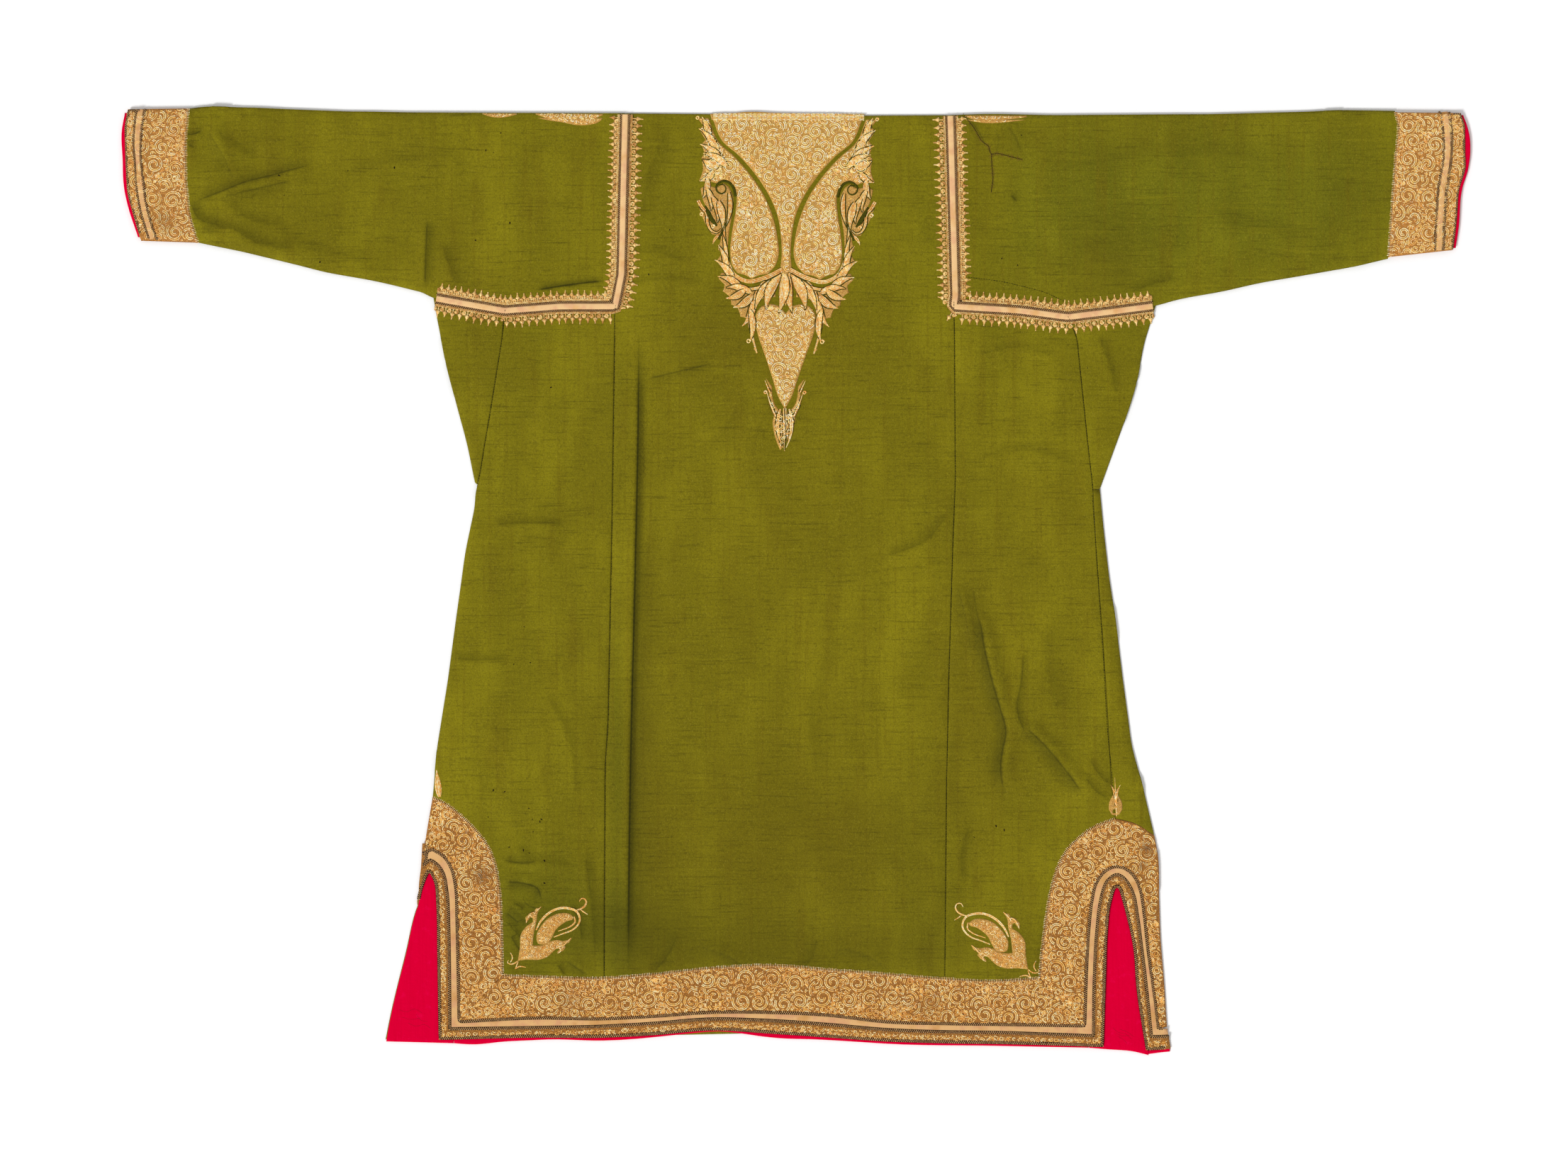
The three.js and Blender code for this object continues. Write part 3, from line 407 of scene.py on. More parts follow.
def meshObject(name, spots, faces, material, smooth=True, **values):
    mesh = bpy.data.meshes.new(name)
    mesh.from_pydata((np.asarray(spots) * mm).tolist(), [], [list(f) for f in faces])
    mesh.update()
    giveValues(mesh, values)
    if smooth:
        mesh.polygons.foreach_set("use_smooth", [True] * len(mesh.polygons))
    mesh.materials.append(material)
    return putInScene(name, mesh)


def fillLoop(loop, extra):
    points = np.vstack([loop, extra])
    count = len(loop)
    rim = [(k, (k + 1) % count) for k in range(count)]
    spots, _, faces, _, _, _ = delaunay_2d_cdt(
        [Vector(p) for p in points], rim, [list(range(count))], 1, 1e-4)
    spots = np.array([tuple(p) for p in spots])
    faces = np.array(faces)
    a, b, c = (spots[faces[:, k]] for k in range(3))
    flipped = cross(b - a, c - a) < 0
    faces[flipped] = faces[flipped][:, ::-1]
    return spots, faces


def rimOf(faces):
    edges = {(t[k], t[(k + 1) % 3]) for t in faces.tolist() for k in range(3)}
    return [(p, q) for p, q in edges if (q, p) not in edges]


def relax(heights, faces, fixed, rounds):
    edges = np.vstack([faces[:, [0, 1]], faces[:, [1, 2]], faces[:, [2, 0]]])
    edges = np.unique(np.sort(edges, axis=1), axis=0)
    degree = np.bincount(edges.ravel(), minlength=len(heights))
    for _ in range(rounds):
        total = np.bincount(edges[:, 0], heights[edges[:, 1]], len(heights))
        total += np.bincount(edges[:, 1], heights[edges[:, 0]], len(heights))
        heights = np.where(fixed, heights, 0.4 * heights + 0.6 * total / np.maximum(degree, 1))
    return heights


def shellOf(name, spots, faces, upper, lower, material, **values):
    # a closed shell between an upper and a lower height at each point
    count = len(spots)
    both = np.vstack([np.column_stack([spots, upper]), np.column_stack([spots, lower])])
    walls = [(q, p, p + count, q + count) for p, q in rimOf(faces)]
    sides = faces.tolist() + (faces[:, ::-1] + count).tolist() + walls
    return meshObject(name, both, sides, material, **{k: np.tile(v, 2) for k, v in values.items()})


# how a ply meets its rim: its folds fade out over calm, and it turns down over its rim and the lip
plyForm = {"calm": 9.0, "lip": 0.4, "clear": 0.05, "smoothing": 6}


def plyOf(name, node, material, pitch, wall, folds=(), rim=1.6, drop=0.5, wave=1.0, under=False,
          flat=False, step=None):
    # one layer of cloth over the upper (or under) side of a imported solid
    loop = roundLoop(outlineOf(node), step or pitch)
    spots, faces = fillLoop(loop, np.vstack([inward(loop, rim), gridIn(loop, pitch, rim + pitch * 0.45)]))
    depth = closest(spots, loop, True)[0]
    edge = depth < plyForm["clear"]
    solid, index = trianglesOf(node)
    tree = BVHTree.FromPolygons(solid.tolist(), index.tolist())
    start, way = (beneath, Vector((0, 0, 1))) if under else (overhead, Vector((0, 0, -1)))
    look = spots.copy()
    look[edge] += 0.002 * (loop.mean(0) - look[edge])
    height = np.zeros(len(spots))
    for k, (x, y) in enumerate(look):
        hit = tree.ray_cast(Vector((x, y, start)), way)[0]
        if hit is None:
            hit = tree.find_nearest(Vector((x, y, start)))[0]
        height[k] = hit.z
    if not flat:
        height = relax(height, faces, edge, plyForm["smoothing"])
    rise, side, strength, dark = foldsAt(spots, folds)
    keep = ease(depth / plyForm["calm"])
    height = height + keep * rise
    if wave:
        height += wave * keep * swellAt(spots)
    sign = -1 if under else 1
    height -= sign * drop * (1 - ease(depth / (rim + plyForm["lip"])))
    if not under:
        height = np.maximum(height, wall + plyForm["clear"])
    other = height - sign * wall
    upper, lower = (other, height) if under else (height, other)
    made = shellOf(name, spots, faces, upper, lower, material,
                   foldSide=side, foldStrength=strength, foldShade=dark)
    if not under:
        ground.add(np.column_stack([spots, upper]), faces)
    return made, loop


def joinPieces(name, parts):
    keep = parts[0]
    with bpy.context.temp_override(active_object=keep, selected_editable_objects=parts):
        bpy.ops.object.join()
    keep.name = name
    keep.data.name = name
    return keep


def rgb(red, green, blue):
    # a colour given as it looks, 0 to 255, in the shader's linear numbers
    return tuple(((v / 255 + 0.055) / 1.055) ** 2.4 if v > 10 else v / 255 / 12.92
                 for v in (red, green, blue)) + (1.0,)


class NodeWork:
    def join(self, source, target):
        # links two sockets, or gives the second one a value of its own
        if isinstance(source, bpy.types.NodeSocket):
            self.tree.links.new(source, target)
        else:
            target.default_value = source


class Finish(NodeWork):
    # a Principled material with a few short ways to add its pattern

    def __init__(self, name, roughness=0.8, **fixed):
        self.made = bpy.data.materials.new(name)
        self.made.use_nodes = True
        self.tree = self.made.node_tree
        self.surface = self.tree.nodes["Principled BSDF"]
        self.surface.inputs["Roughness"].default_value = roughness
        for key, value in fixed.items():
            self.surface.inputs[key].default_value = value
        where = self.tree.nodes.new("ShaderNodeTexCoord")
        scale = self.tree.nodes.new("ShaderNodeMapping")
        scale.inputs["Scale"].default_value = (1000, 1000, 1000)
        self.join(where.outputs["Object"], scale.inputs["Vector"])
        self.place = scale.outputs["Vector"]

    def stretch(self, x, y, z=1.0, turn=0.0):
        node = self.tree.nodes.new("ShaderNodeMapping")
        node.inputs["Scale"].default_value = (1 / x, 1 / y, 1 / z)
        node.inputs["Rotation"].default_value = (0, 0, turn)
        self.join(self.place, node.inputs["Vector"])
        return node.outputs["Vector"]

    def noise(self, size, detail=2.0, rough=0.5, twist=0.0, at=None):
        node = self.tree.nodes.new("ShaderNodeTexNoise")
        self.join(at or self.place, node.inputs["Vector"])
        node.inputs["Scale"].default_value = 1 / size
        node.inputs["Detail"].default_value = detail
        node.inputs["Roughness"].default_value = rough
        node.inputs["Distortion"].default_value = twist
        return node.outputs["Fac"]

    def wave(self, size, way="X", twist=0.0, at=None):
        # one band to each size in millimetres
        node = self.tree.nodes.new("ShaderNodeTexWave")
        node.bands_direction = way
        self.join(at or self.place, node.inputs["Vector"])
        node.inputs["Scale"].default_value = math.pi / 10 / size
        node.inputs["Distortion"].default_value = twist
        node.inputs["Detail"].default_value = 3.0
        node.inputs["Detail Scale"].default_value = 2.0
        return node.outputs["Fac"]

    def pattern(self, size, detail, rough):
        # noise of one size, or of a size across, along and through, with a turn
        if isinstance(size, tuple):
            return self.noise(1.0, detail, rough, at=self.stretch(*size))
        return self.noise(size, detail, rough)

    def value(self, name):
        node = self.tree.nodes.new("ShaderNodeAttribute")
        node.attribute_name = name
        return node.outputs["Fac"]

    def maths(self, operation, a, b):
        node = self.tree.nodes.new("ShaderNodeMath")
        node.operation = operation
        self.join(a, node.inputs[0])
        self.join(b, node.inputs[1])
        return node.outputs[0]

    def spread(self, source, low, high, to=0.0, up=1.0):
        node = self.tree.nodes.new("ShaderNodeMapRange")
        node.interpolation_type = "SMOOTHSTEP"
        for k, part in enumerate((source, low, high, to, up)):
            self.join(part, node.inputs[k])
        return node.outputs[0]

    def mix(self, amount, a, b):
        node = self.tree.nodes.new("ShaderNodeMix")
        node.data_type = "RGBA"
        self.join(amount, node.inputs["Factor"])
        self.join(a, node.inputs["A"])
        self.join(b, node.inputs["B"])
        return next(s for s in node.outputs if s.type == "RGBA")

    def bump(self, height, depth, strength=1.0, under=None):
        # depth is in millimetres
        node = self.tree.nodes.new("ShaderNodeBump")
        node.inputs["Strength"].default_value = strength
        node.inputs["Distance"].default_value = depth * mm
        self.join(height, node.inputs["Height"])
        if under is not None:
            self.join(under, node.inputs["Normal"])
        return node.outputs["Normal"]

    def done(self, colour, normal=None):
        self.join(colour, self.surface.inputs["Base Color"])
        if normal is not None:
            self.join(normal, self.surface.inputs["Normal"])
        return self.made


woolTones = {
    "olive": rgb(117, 108, 8),
    "yellowGreen": rgb(139, 129, 14),
    "brownGreen": rgb(106, 91, 6),
    "blueGreen": rgb(80, 93, 14),
    "deep": rgb(58, 52, 2),
    "fibre": rgb(168, 154, 50),
    # crease is the tone of the painted shade along the folds
    "crease": rgb(38, 38, 2),
}
# the size of each pattern, or its size across, along and through with a turn; its detail and roughness
woolPatterns = {
    "broad": ((95, 210, 100), 3, 0.6),
    "patch": ((34, 120, 60, 0.06), 4, 0.62),
    "streak": ((5, 190, 40, 0.02), 3, 0.6),
    "bars": ((120, 6, 40, 0.1), 3, 0.6),
    "weft": ((46, 2.4, 20, 0.03), 3, 0.65),
    "mottle": (4.4, 3, 0.7),
    "grain": (1.5, 3, 0.7),
    "fibre": ((0.9, 2.4, 2, 0.6), 2, 0.6),
}
# tones laid one over the other: the pattern, where it begins and is full, its strength and its tone
woolLayers = [
    ("patch", 0.5, 0.8, 0.5, "brownGreen"), ("streak", 0.46, 0.76, 0.42, "brownGreen"),
    ("bars", 0.52, 0.8, 0.4, "yellowGreen"), ("weft", 0.5, 0.78, 0.5, "deep"),
    ("mottle", 0.5, 0.76, 0.34, "deep"), ("mottle", 0.46, 0.26, 0.3, "yellowGreen"),
    ("grain", 0.4, 0.72, 0.42, "deep"), ("fibre", 0.54, 0.76, 0.34, "fibre"),
]
# how strongly the laid shade, a fold's dark side and its sharp line show, and that line's width
woolCrease = {"shade": 0.85, "dark": 0.62, "line": 0.9, "wide": 1.15, "deep": 2.2}


def greenWool():
    f = Finish("greenWool", 0.86, **{"Sheen Weight": 0.03, "Sheen Roughness": 0.5,
                                     "Specular IOR Level": 0.1})
    patterns = {k: f.pattern(*v) for k, v in woolPatterns.items()}
    tint = f.value("tint")
    base = f.mix(f.spread(patterns["broad"], 0.38, 0.72, 0.0, 0.85), woolTones["olive"],
                 woolTones["yellowGreen"])
    base = f.mix(f.maths("MAXIMUM", tint, 0.0), base, woolTones["brownGreen"])
    cool = f.maths("MAXIMUM", f.maths("MULTIPLY", tint, -1.0), 0.0)
    base = f.mix(cool, base, woolTones["blueGreen"])
    for title, low, high, most, tone in woolLayers:
        base = f.mix(f.spread(patterns[title], low, high, 0.0, most), base, woolTones[tone])
    base = f.mix(f.maths("MULTIPLY", f.value("shade"), woolCrease["shade"]), base, woolTones["deep"])
    # painted shade on the dark side of each fold
    base = f.mix(f.maths("MULTIPLY", f.value("foldShade"), woolCrease["dark"]), base, woolTones["crease"])
    # painted shade: a thin dark line along each sharp fold
    side = f.maths("DIVIDE", f.value("foldSide"), woolCrease["wide"])
    thin = f.maths("POWER", 2.718, f.maths("MULTIPLY", f.maths("MULTIPLY", side, side), -1.0))
    thin = f.maths("MULTIPLY", thin, f.value("foldStrength"))
    base = f.mix(f.maths("MULTIPLY", thin, woolCrease["line"]), base, woolTones["crease"])
    weave = f.wave(0.62, "X", 0.6, f.stretch(1, 1, 1, 0.78))
    height = f.maths("ADD", f.maths("MULTIPLY", weave, 0.35), f.maths("MULTIPLY", patterns["grain"], 0.65))
    normal = f.bump(f.noise(17, 3, 0.6), 1.6, 0.32)
    grooved = f.maths("SUBTRACT", height, f.maths("MULTIPLY", thin, woolCrease["deep"]))
    return f.done(base, f.bump(grooved, 0.25, 0.55, normal))


silkTones = {"pink": rgb(213, 0, 50), "deep": rgb(196, 0, 40), "light": rgb(222, 4, 66),
             "crease": rgb(90, 0, 20)}


def pinkSilk():
    f = Finish("pinkSilk", 0.8, **{"Specular IOR Level": 0.0})
    streak = f.pattern((2.2, 60, 20, 0.1), 3, 0.6)
    base = f.mix(f.spread(streak, 0.4, 0.7, 0.0, 0.3), silkTones["pink"], silkTones["deep"])
    base = f.mix(f.spread(f.noise(9, 3, 0.6), 0.55, 0.75, 0.0, 0.6), base, silkTones["light"])
    # painted shade on the dark side of each fold
    base = f.mix(f.maths("MULTIPLY", f.value("foldShade"), 0.7), base, silkTones["crease"])
    normal = f.bump(f.noise(6, 3, 0.6), 1.0, 0.5)
    normal = f.bump(f.wave(0.7, "Y", 0.5), 0.1, 0.4, normal)
    return f.done(base, normal)


tapeTones = {"cream": rgb(230, 182, 122), "pink": rgb(220, 164, 118), "ochre": rgb(204, 148, 78)}
paleTapeTones = {"cream": rgb(246, 204, 146), "pink": rgb(236, 184, 136), "ochre": rgb(226, 170, 98)}
# rib is painted shade in the grooves between the ribs; spot is soil
tapeSoilAndShade = {"rib": rgb(150, 104, 60), "spot": rgb(160, 112, 66)}


def ribbedTape(name, tones):
    f = Finish(name, 0.85, **{"Sheen Weight": 0.02, "Specular IOR Level": 0.12})
    base = f.mix(f.spread(f.noise(14, 3, 0.6), 0.42, 0.66), tones["cream"], tones["pink"])
    base = f.mix(f.spread(f.noise(30, 3, 0.6), 0.5, 0.72, 0.0, 0.7), base, tones["ochre"])
    rib = f.wave(1.0, "X", 0.4, f.stretch(1, 1, 1, 0.7))
    # painted shade in the grooves of the ribs
    base = f.mix(f.spread(rib, 0.2, 0.5, 0.3, 0.0), base, tapeSoilAndShade["rib"])
    base = f.mix(f.spread(f.noise(3, 3, 0.7), 0.6, 0.8, 0.0, 0.5), base, tapeSoilAndShade["spot"])
    return f.done(base, f.bump(rib, 0.25, 0.7))


# gap is painted shade in the hollows of the thread's twist, light is painted glints, worn is real wear
goldTones = {"gap": rgb(96, 58, 20), "light": rgb(255, 236, 200), "worn": rgb(120, 84, 60)}


def goldGround(name, thread, brown, gap):
    # the worn ground that shows between the couched threads; its gap tone between the drawn threads is
    # painted shade, and specks of the light tone are painted glints
    f = Finish(name, 0.62, **{"Metallic": 0.1, "Specular IOR Level": 0.25})
    curl = f.noise(3.4, 3, 0.6, 1.8)
    line = f.maths("PINGPONG", f.maths("MULTIPLY", curl, 9.0), 0.5)
    base = f.mix(f.spread(line, 0.08, 0.3), gap, brown)
    base = f.mix(f.spread(line, 0.24, 0.44), base, thread)
    base = f.mix(f.spread(f.noise(2.6, 3, 0.7), 0.6, 0.72, 0.0, 0.7), base, goldTones["light"])
    base = f.mix(f.spread(f.noise(24, 3, 0.6), 0.5, 0.75, 0.0, 0.45), base, brown)
    return f.done(base, f.bump(line, 0.8, 0.8))


def goldThread(name, thread, brown, light):
    # worn metal thread: each run has its own brightness, a tone and a strength of painted glints; specks of
    # the light tone are painted glints, and the gap tone in the twist's hollows is painted shade
    f = Finish(name, 0.42, **{"Metallic": 0.1, "Specular IOR Level": 0.3})
    glow = f.value("glow")
    tone = f.maths("ADD", f.noise(5.0, 3, 0.65), f.maths("MULTIPLY", glow, 0.16))
    base = f.mix(f.spread(tone, 0.42, 0.68), brown, thread)
    bright = f.maths("ADD", f.noise(2.6, 3, 0.8), f.maths("MULTIPLY", glow, 0.07))
    base = f.mix(f.spread(bright, 0.54, 0.62), base, light)
    base = f.mix(f.spread(f.noise(26, 3, 0.6), 0.5, 0.74, 0.0, 0.35), base, brown)
    base = f.mix(f.value("worn"), base, goldTones["worn"])
    twist = f.noise(0.6, 2, 0.6)
    base = f.mix(f.spread(twist, 0.36, 0.5, 0.36, 0.0), base, goldTones["gap"])
    return f.done(base, f.bump(twist, 0.3, 0.8))


def plainThread(name, colour, dark, roughness=0.7):
    f = Finish(name, roughness, **{"Specular IOR Level": 0.12})
    base = f.mix(f.spread(f.noise(1.6, 2, 0.6), 0.4, 0.7), colour, dark)
    return f.done(base, f.bump(f.noise(0.5, 2), 0.15, 0.6))


wool = greenWool()
silk = pinkSilk()
tapeCloth = ribbedTape("ribbedTape", tapeTones)
paleTape = ribbedTape("paleTape", paleTapeTones)
groundHem = goldGround("goldGroundHem", rgb(238, 168, 80), rgb(176, 110, 38), rgb(112, 68, 22))
groundNeck = goldGround("goldGroundNeck", rgb(255, 216, 114), rgb(238, 172, 82), rgb(156, 100, 44))
groundCuff = goldGround("goldGroundCuff", rgb(255, 186, 96), rgb(206, 136, 56), rgb(128, 80, 32))
threadHem = goldThread("goldThreadHem", rgb(255, 200, 102), rgb(226, 150, 58), rgb(255, 240, 186))
threadNeck = goldThread("goldThreadNeck", rgb(255, 228, 134), rgb(252, 188, 94), rgb(255, 250, 222))
threadCuff = goldThread("goldThreadCuff", rgb(255, 212, 118), rgb(240, 166, 76), rgb(255, 242, 194))
blackThread = plainThread("blackThread", rgb(26, 8, 14), rgb(50, 22, 22))
creamThread = plainThread("creamThread", rgb(206, 164, 108), rgb(140, 94, 54))
greenThread = plainThread("greenThread", rgb(44, 38, 6), rgb(26, 22, 4))
combThread = goldThread("combThread", rgb(246, 200, 128), rgb(198, 140, 66), rgb(255, 244, 206))
print("finishes made")


# broad tones of the laid cloth: x, y, radius across, radius along, browner (+) or cooler (-), darker; the
# darker part is real tone in places and painted shade beside folds in others
tonePatches = [
    (-20, 60, 210, 420, 0.25, 0.0), (-330, -60, 110, 260, 0.05, 0.05), (330, -80, 110, 230, 0.15, -0.06),
    (500, 500, 330, 130, -0.45, -0.03), (-560, 500, 260, 120, 0.0, -0.04), (-230, -470, 130, 60, -0.2, 0.4),
    (10, -360, 220, 130, 0.4, 0.15),
    (60, -500, 280, 45, 0.1, 0.3), (-20, 560, 200, 90, 0.2, 0.12), (-330, -430, 80, 80, -0.25, 0.12),
    (420, 430, 60, 80, 0.1, 0.32), (452, 588, 40, 50, 0.0, 0.2), (578, 524, 40, 60, 0.0, 0.16),
    (700, 520, 80, 90, -0.1, 0.14), (-700, 520, 100, 90, 0.15, 0.1), (180, -420, 60, 130, -0.2, 0.15),
    (-236, 40, 16, 420, -0.1, 0.04), (-237, -320, 18, 240, -0.3, 0.17), (-196, -260, 26, 240, 0.2, 0.16),
    (-400, -500, 60, 60, -0.1, 0.25), (0, 250, 120, 100, 0.1, -0.04), (250, 540, 40, 100, 0.2, 0.1),
    (240, -180, 50, 160, 0.3, 0.14), (-450, 330, 60, 100, 0.2, 0.12), (-60, 330, 160, 60, 0.3, 0.05),
]


def addTones(made):
    spots = meshOf(made)[0]
    tint = np.zeros(len(spots))
    shade = np.zeros(len(spots))
    for x, y, wide, tall, warm, dark in tonePatches:
        near = np.exp(-(((spots[:, 0] - x) / wide) ** 2) - ((spots[:, 1] - y) / tall) ** 2)
        tint += warm * near
        shade += dark * near
    giveValues(made.data, {"tint": np.clip(tint, -1, 1), "shade": np.clip(shade, 0, 1)})

clothSizes = {
    "front": {"pitch": 11.0, "wall": 1.2, "wave": 0, "drop": 0.3, "flat": True},
    "facing": {"pitch": 6.0, "wall": 0.8, "wave": 0.3, "drop": 0.3},
    "sleeve": {"pitch": 5.2, "wall": 1.0, "rim": 2.2, "drop": 0.3},
    "sleeveUnder": {"pitch": 9.0, "wall": 1.0, "step": 5.2},
    "back": {"pitch": 5.0, "wall": 1.2},
}
backFolds = {"back_side_left": ["sideLeft"], "back_side_right": ["sideRight", "centre"],
             "underarm_gore_left": ["sideLeft"], "underarm_gore_right": ["sideRight"],
             "back_centre": ["centre", "sideRight"]}
clothLoops = {}


def seat(piece, nodes):
    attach(piece, "root")
    if nodes:
        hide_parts(*nodes)


def layTube(name, node, material, over, under, folds=()):
    # a flattened tube: a ply on its solid's under side and one on its upper side
    bottom = plyOf("bottom", node, material, under=True, wave=0, **under)[0]
    top, loop = plyOf("top", node, material, folds=folds, **over)
    return joinPieces(name, [top, bottom]), loop


def layCloth():
    for node in ("front_centre_left", "front_centre_right", "front_side_left", "front_side_right",
                 "front_turnover_right"):
        made, clothLoops[node] = plyOf("cloth_" + node, node, wool, **clothSizes["front"])
        addTones(made)
        seat(made, [node])
    for node in ("vent_facing_left", "vent_facing_right", "hem_facing"):
        made, loop = plyOf("silk_" + node, node, silk, **clothSizes["facing"])
        seat(made, [node])
    for node, folds in (("sleeve_left", "sleeveLeft"), ("sleeve_right", "sleeveRight")):
        made, clothLoops[node] = layTube("cloth_" + node, node, wool, clothSizes["sleeve"],
                                         clothSizes["sleeveUnder"], [folds])
        addTones(made)
        seat(made, [node])
    for node, folds in backFolds.items():
        made, clothLoops[node] = plyOf("cloth_" + node, node, wool, folds=folds, **clothSizes["back"])
        addTones(made)
        seat(made, [node])


layCloth()
print("cloth laid")

borderSizes = {
    "gold": {"pitch": 6.0, "wall": 1.4, "drop": 0.4},
    "tape": {"pitch": 6.0, "wall": 1.1, "drop": 0.3},
    "lining": {"pitch": 7.0, "wall": 1.1, "wave": 0.3, "drop": 0.3},
    "liningUnder": {"pitch": 7.0, "wall": 1.1},
    "cuff": {"pitch": 5.0, "wall": 1.2, "wave": 0.6, "rim": 2.0, "drop": 0.3},
    "cuffUnder": {"pitch": 7.0, "wall": 1.2},
}


def layBorders():
    loops = {}
    for node in ("vent_border_left", "vent_border_right", "hem_border", "border_edging"):
        made, loops[node] = plyOf("gold_" + node, node, groundHem, **borderSizes["gold"])
        seat(made, [node])
    made, loops["border_tape"] = plyOf("tape_border", "border_tape", tapeCloth, **borderSizes["tape"])
    seat(made, ["border_tape"])
    for side in ("left", "right"):
        node = f"cuff_lining_{side}"
        made, loop = layTube("silk_" + node, node, silk, borderSizes["lining"], borderSizes["liningUnder"])
        seat(made, [node])
        node = f"cuff_{side}"
        made, loops[node] = layTube("gold_" + node, node, groundCuff, borderSizes["cuff"],
                                    borderSizes["cuffUnder"])
        seat(made, [node])
    return loops


borderLoops = layBorders()
print("borders laid")

# how a raised plate of gold is formed: its rim's inset, clear rim, round, lift and sink
plateForm = {"inset": 1.3, "clear": 2.2, "round": 2.1, "lift": 0.15, "sink": 0.3, "fall": 3.0, "step": 3.0}


def plateOf(name, loop, nodes, material, rise=1.0, pitch=4.0, bed=None):
    form = plateForm
    extra = np.vstack([inward(loop, form["inset"]), gridIn(loop, pitch, form["clear"])])
    spots, faces = fillLoop(loop, extra)
    depth = closest(spots, loop, True)[0]
    base = ground.height(spots, form["fall"]) if bed is None else np.full(len(spots), bed)
    upper = base + form["lift"] + rise * np.sqrt(ease(depth / form["round"]))
    made = shellOf(name, spots, faces, upper, base - form["sink"], material)
    ground.add(np.column_stack([spots, upper]), faces)
    seat(made, nodes)
    return loop


plateNodes = {
    1.0: ["neck_field", "neck_boteh_left", "neck_boteh_right", "neck_scroll_left", "neck_scroll_right",
          "neck_leaves_left", "neck_leaves_right", "neck_heart", "neck_finial"],
    0.7: ["paisley_leaf_left", "paisley_leaf_right", "leaf_bud_right", "epaulette_left",
          "epaulette_right"],
}
plateLoops = {}
for rise, nodes in plateNodes.items():
    for node in nodes:
        loop = roundLoop(outlineOf(node), plateForm["step"])
        if "leaves" in node:
            loop = roundLoop(inward(loop, 3.3), plateForm["step"])
        plateLoops[node] = plateOf("gold_" + node, loop, [node], groundNeck, rise)
# gold that runs over the shoulder fold
foldPlates = {
    "neck_fold": route((-111, 614.6), (86, 614.6), (91.5, 620), (94, 622), (60, 622.8), (30, 623.2),
                       (0, 623.8), (-30, 624.6), (-50, 625.8), (-66, 625.6), (-80, 624.2), (-98, 624),
                       (-113, 623)),
    "epaulette_fold_left": route((-346, 622.4), (-330, 616.6), (-300, 615.2), (-270, 616), (-256, 621.2),
                                 (-256, 623), (-300, 623.9), (-346, 624.2)),
    "epaulette_fold_outer": route((-417, 622.8), (-405, 618.8), (-390, 617.8), (-371, 622), (-371, 624.2),
                                  (-417, 624.4)),
    "epaulette_fold_right": route((227, 619.4), (240, 614.6), (259, 613.6), (290, 616), (309, 618.6),
                                  (309, 620.6), (260, 621), (227, 621.2)),
}
for title, loop in foldPlates.items():
    plateLoops[title] = plateOf("gold_" + title, roundLoop(loop, plateForm["step"]), [], groundNeck, 0.6)
# small plates at the turned corners: finish, rise, the height they lie at, slot and outline
cornerPlates = {
    "silk_vent_turn": (silk, 0.55, 2.0, "silk_lining", [
        (-489, -386), (-481.5, -390), (-481, -402), (-487, -412), (-495.5, -425), (-503, -434), (-501, -420),
        (-495, -402)]),
    "silk_hem_tip": (silk, 0.55, 1.0, "silk_lining", [
        (466, -619), (470, -631.6), (494, -628.6), (500.5, -628), (500, -617)]),
    "gold_vent_turn": (groundHem, 0.5, None, "gold_work", [
        (-499, -384), (-493, -381.5), (-487, -387), (-493.2, -400.2), (-497.2, -411.5), (-500.6, -424),
        (-503, -434), (-504, -430), (-502.3, -418.2), (-501.3, -402)]),
    "gold_tape_end": (groundHem, 0.4, None, "gold_work", [
        (-497, -350), (-491, -350), (-493.2, -381), (-499, -384.5)]),
}
for title, (material, rise, bed, slot, points) in cornerPlates.items():
    loop = roundLoop(route(*points), 2.5)
    plateOf(title, loop if loopArea(loop) > 0 else loop[::-1], [], material, rise, 3.0, bed)
print("plates laid")


class Tree(NodeWork):
    # a geometry node tree with named inputs

    def __init__(self, name, **sizes):
        self.tree = bpy.data.node_groups.new(name, "GeometryNodeTree")
        face = self.tree.interface
        face.new_socket("Geometry", in_out="INPUT", socket_type="NodeSocketGeometry")
        self.key = {}
        kinds = {float: "NodeSocketFloat", int: "NodeSocketInt", str: "NodeSocketMaterial"}
        for title, value in sizes.items():
            socket = face.new_socket(title, in_out="INPUT", socket_type=kinds[type(value)])
            if not isinstance(value, str):
                socket.default_value = value
            self.key[title] = socket.identifier
        face.new_socket("Geometry", in_out="OUTPUT", socket_type="NodeSocketGeometry")
        self.start = self.tree.nodes.new("NodeGroupInput")
        self.end = self.tree.nodes.new("NodeGroupOutput")
        self.parts = []

    def add(self, kind, out=0, mode=None, **inputs):
        node = self.tree.nodes.new(kind)
        for key, value in (mode or {}).items():
            setattr(node, key, value)
        for key, source in inputs.items():
            target = node.inputs[int(key[1:])] if key[0] == "i" and key[1:].isdigit() else node.inputs[key]
            self.join(source, target)
        return node.outputs[out]

    def maths(self, operation, a, b=0.0):
        return self.add("ShaderNodeMath", mode={"operation": operation}, i0=a, i1=b)

    def vector(self, operation, a, b=(0, 0, 0), **more):
        return self.add("ShaderNodeVectorMath", 0, {"operation": operation}, i0=a, i1=b, **more)

    def finish(self, geometry, material):
        whole = self.add("GeometryNodeRealizeInstances", Geometry=geometry)
        self.parts.append(self.add("GeometryNodeSetMaterial", Geometry=whole, Material=material))

    def close(self):
        if len(self.parts) == 1:
            self.join(self.parts[0], self.end.inputs[0])
            return self
        gather = self.tree.nodes.new("GeometryNodeJoinGeometry")
        for part in self.parts:
            self.join(part, gather.inputs[0])
        self.join(gather.outputs[0], self.end.inputs[0])
        return self


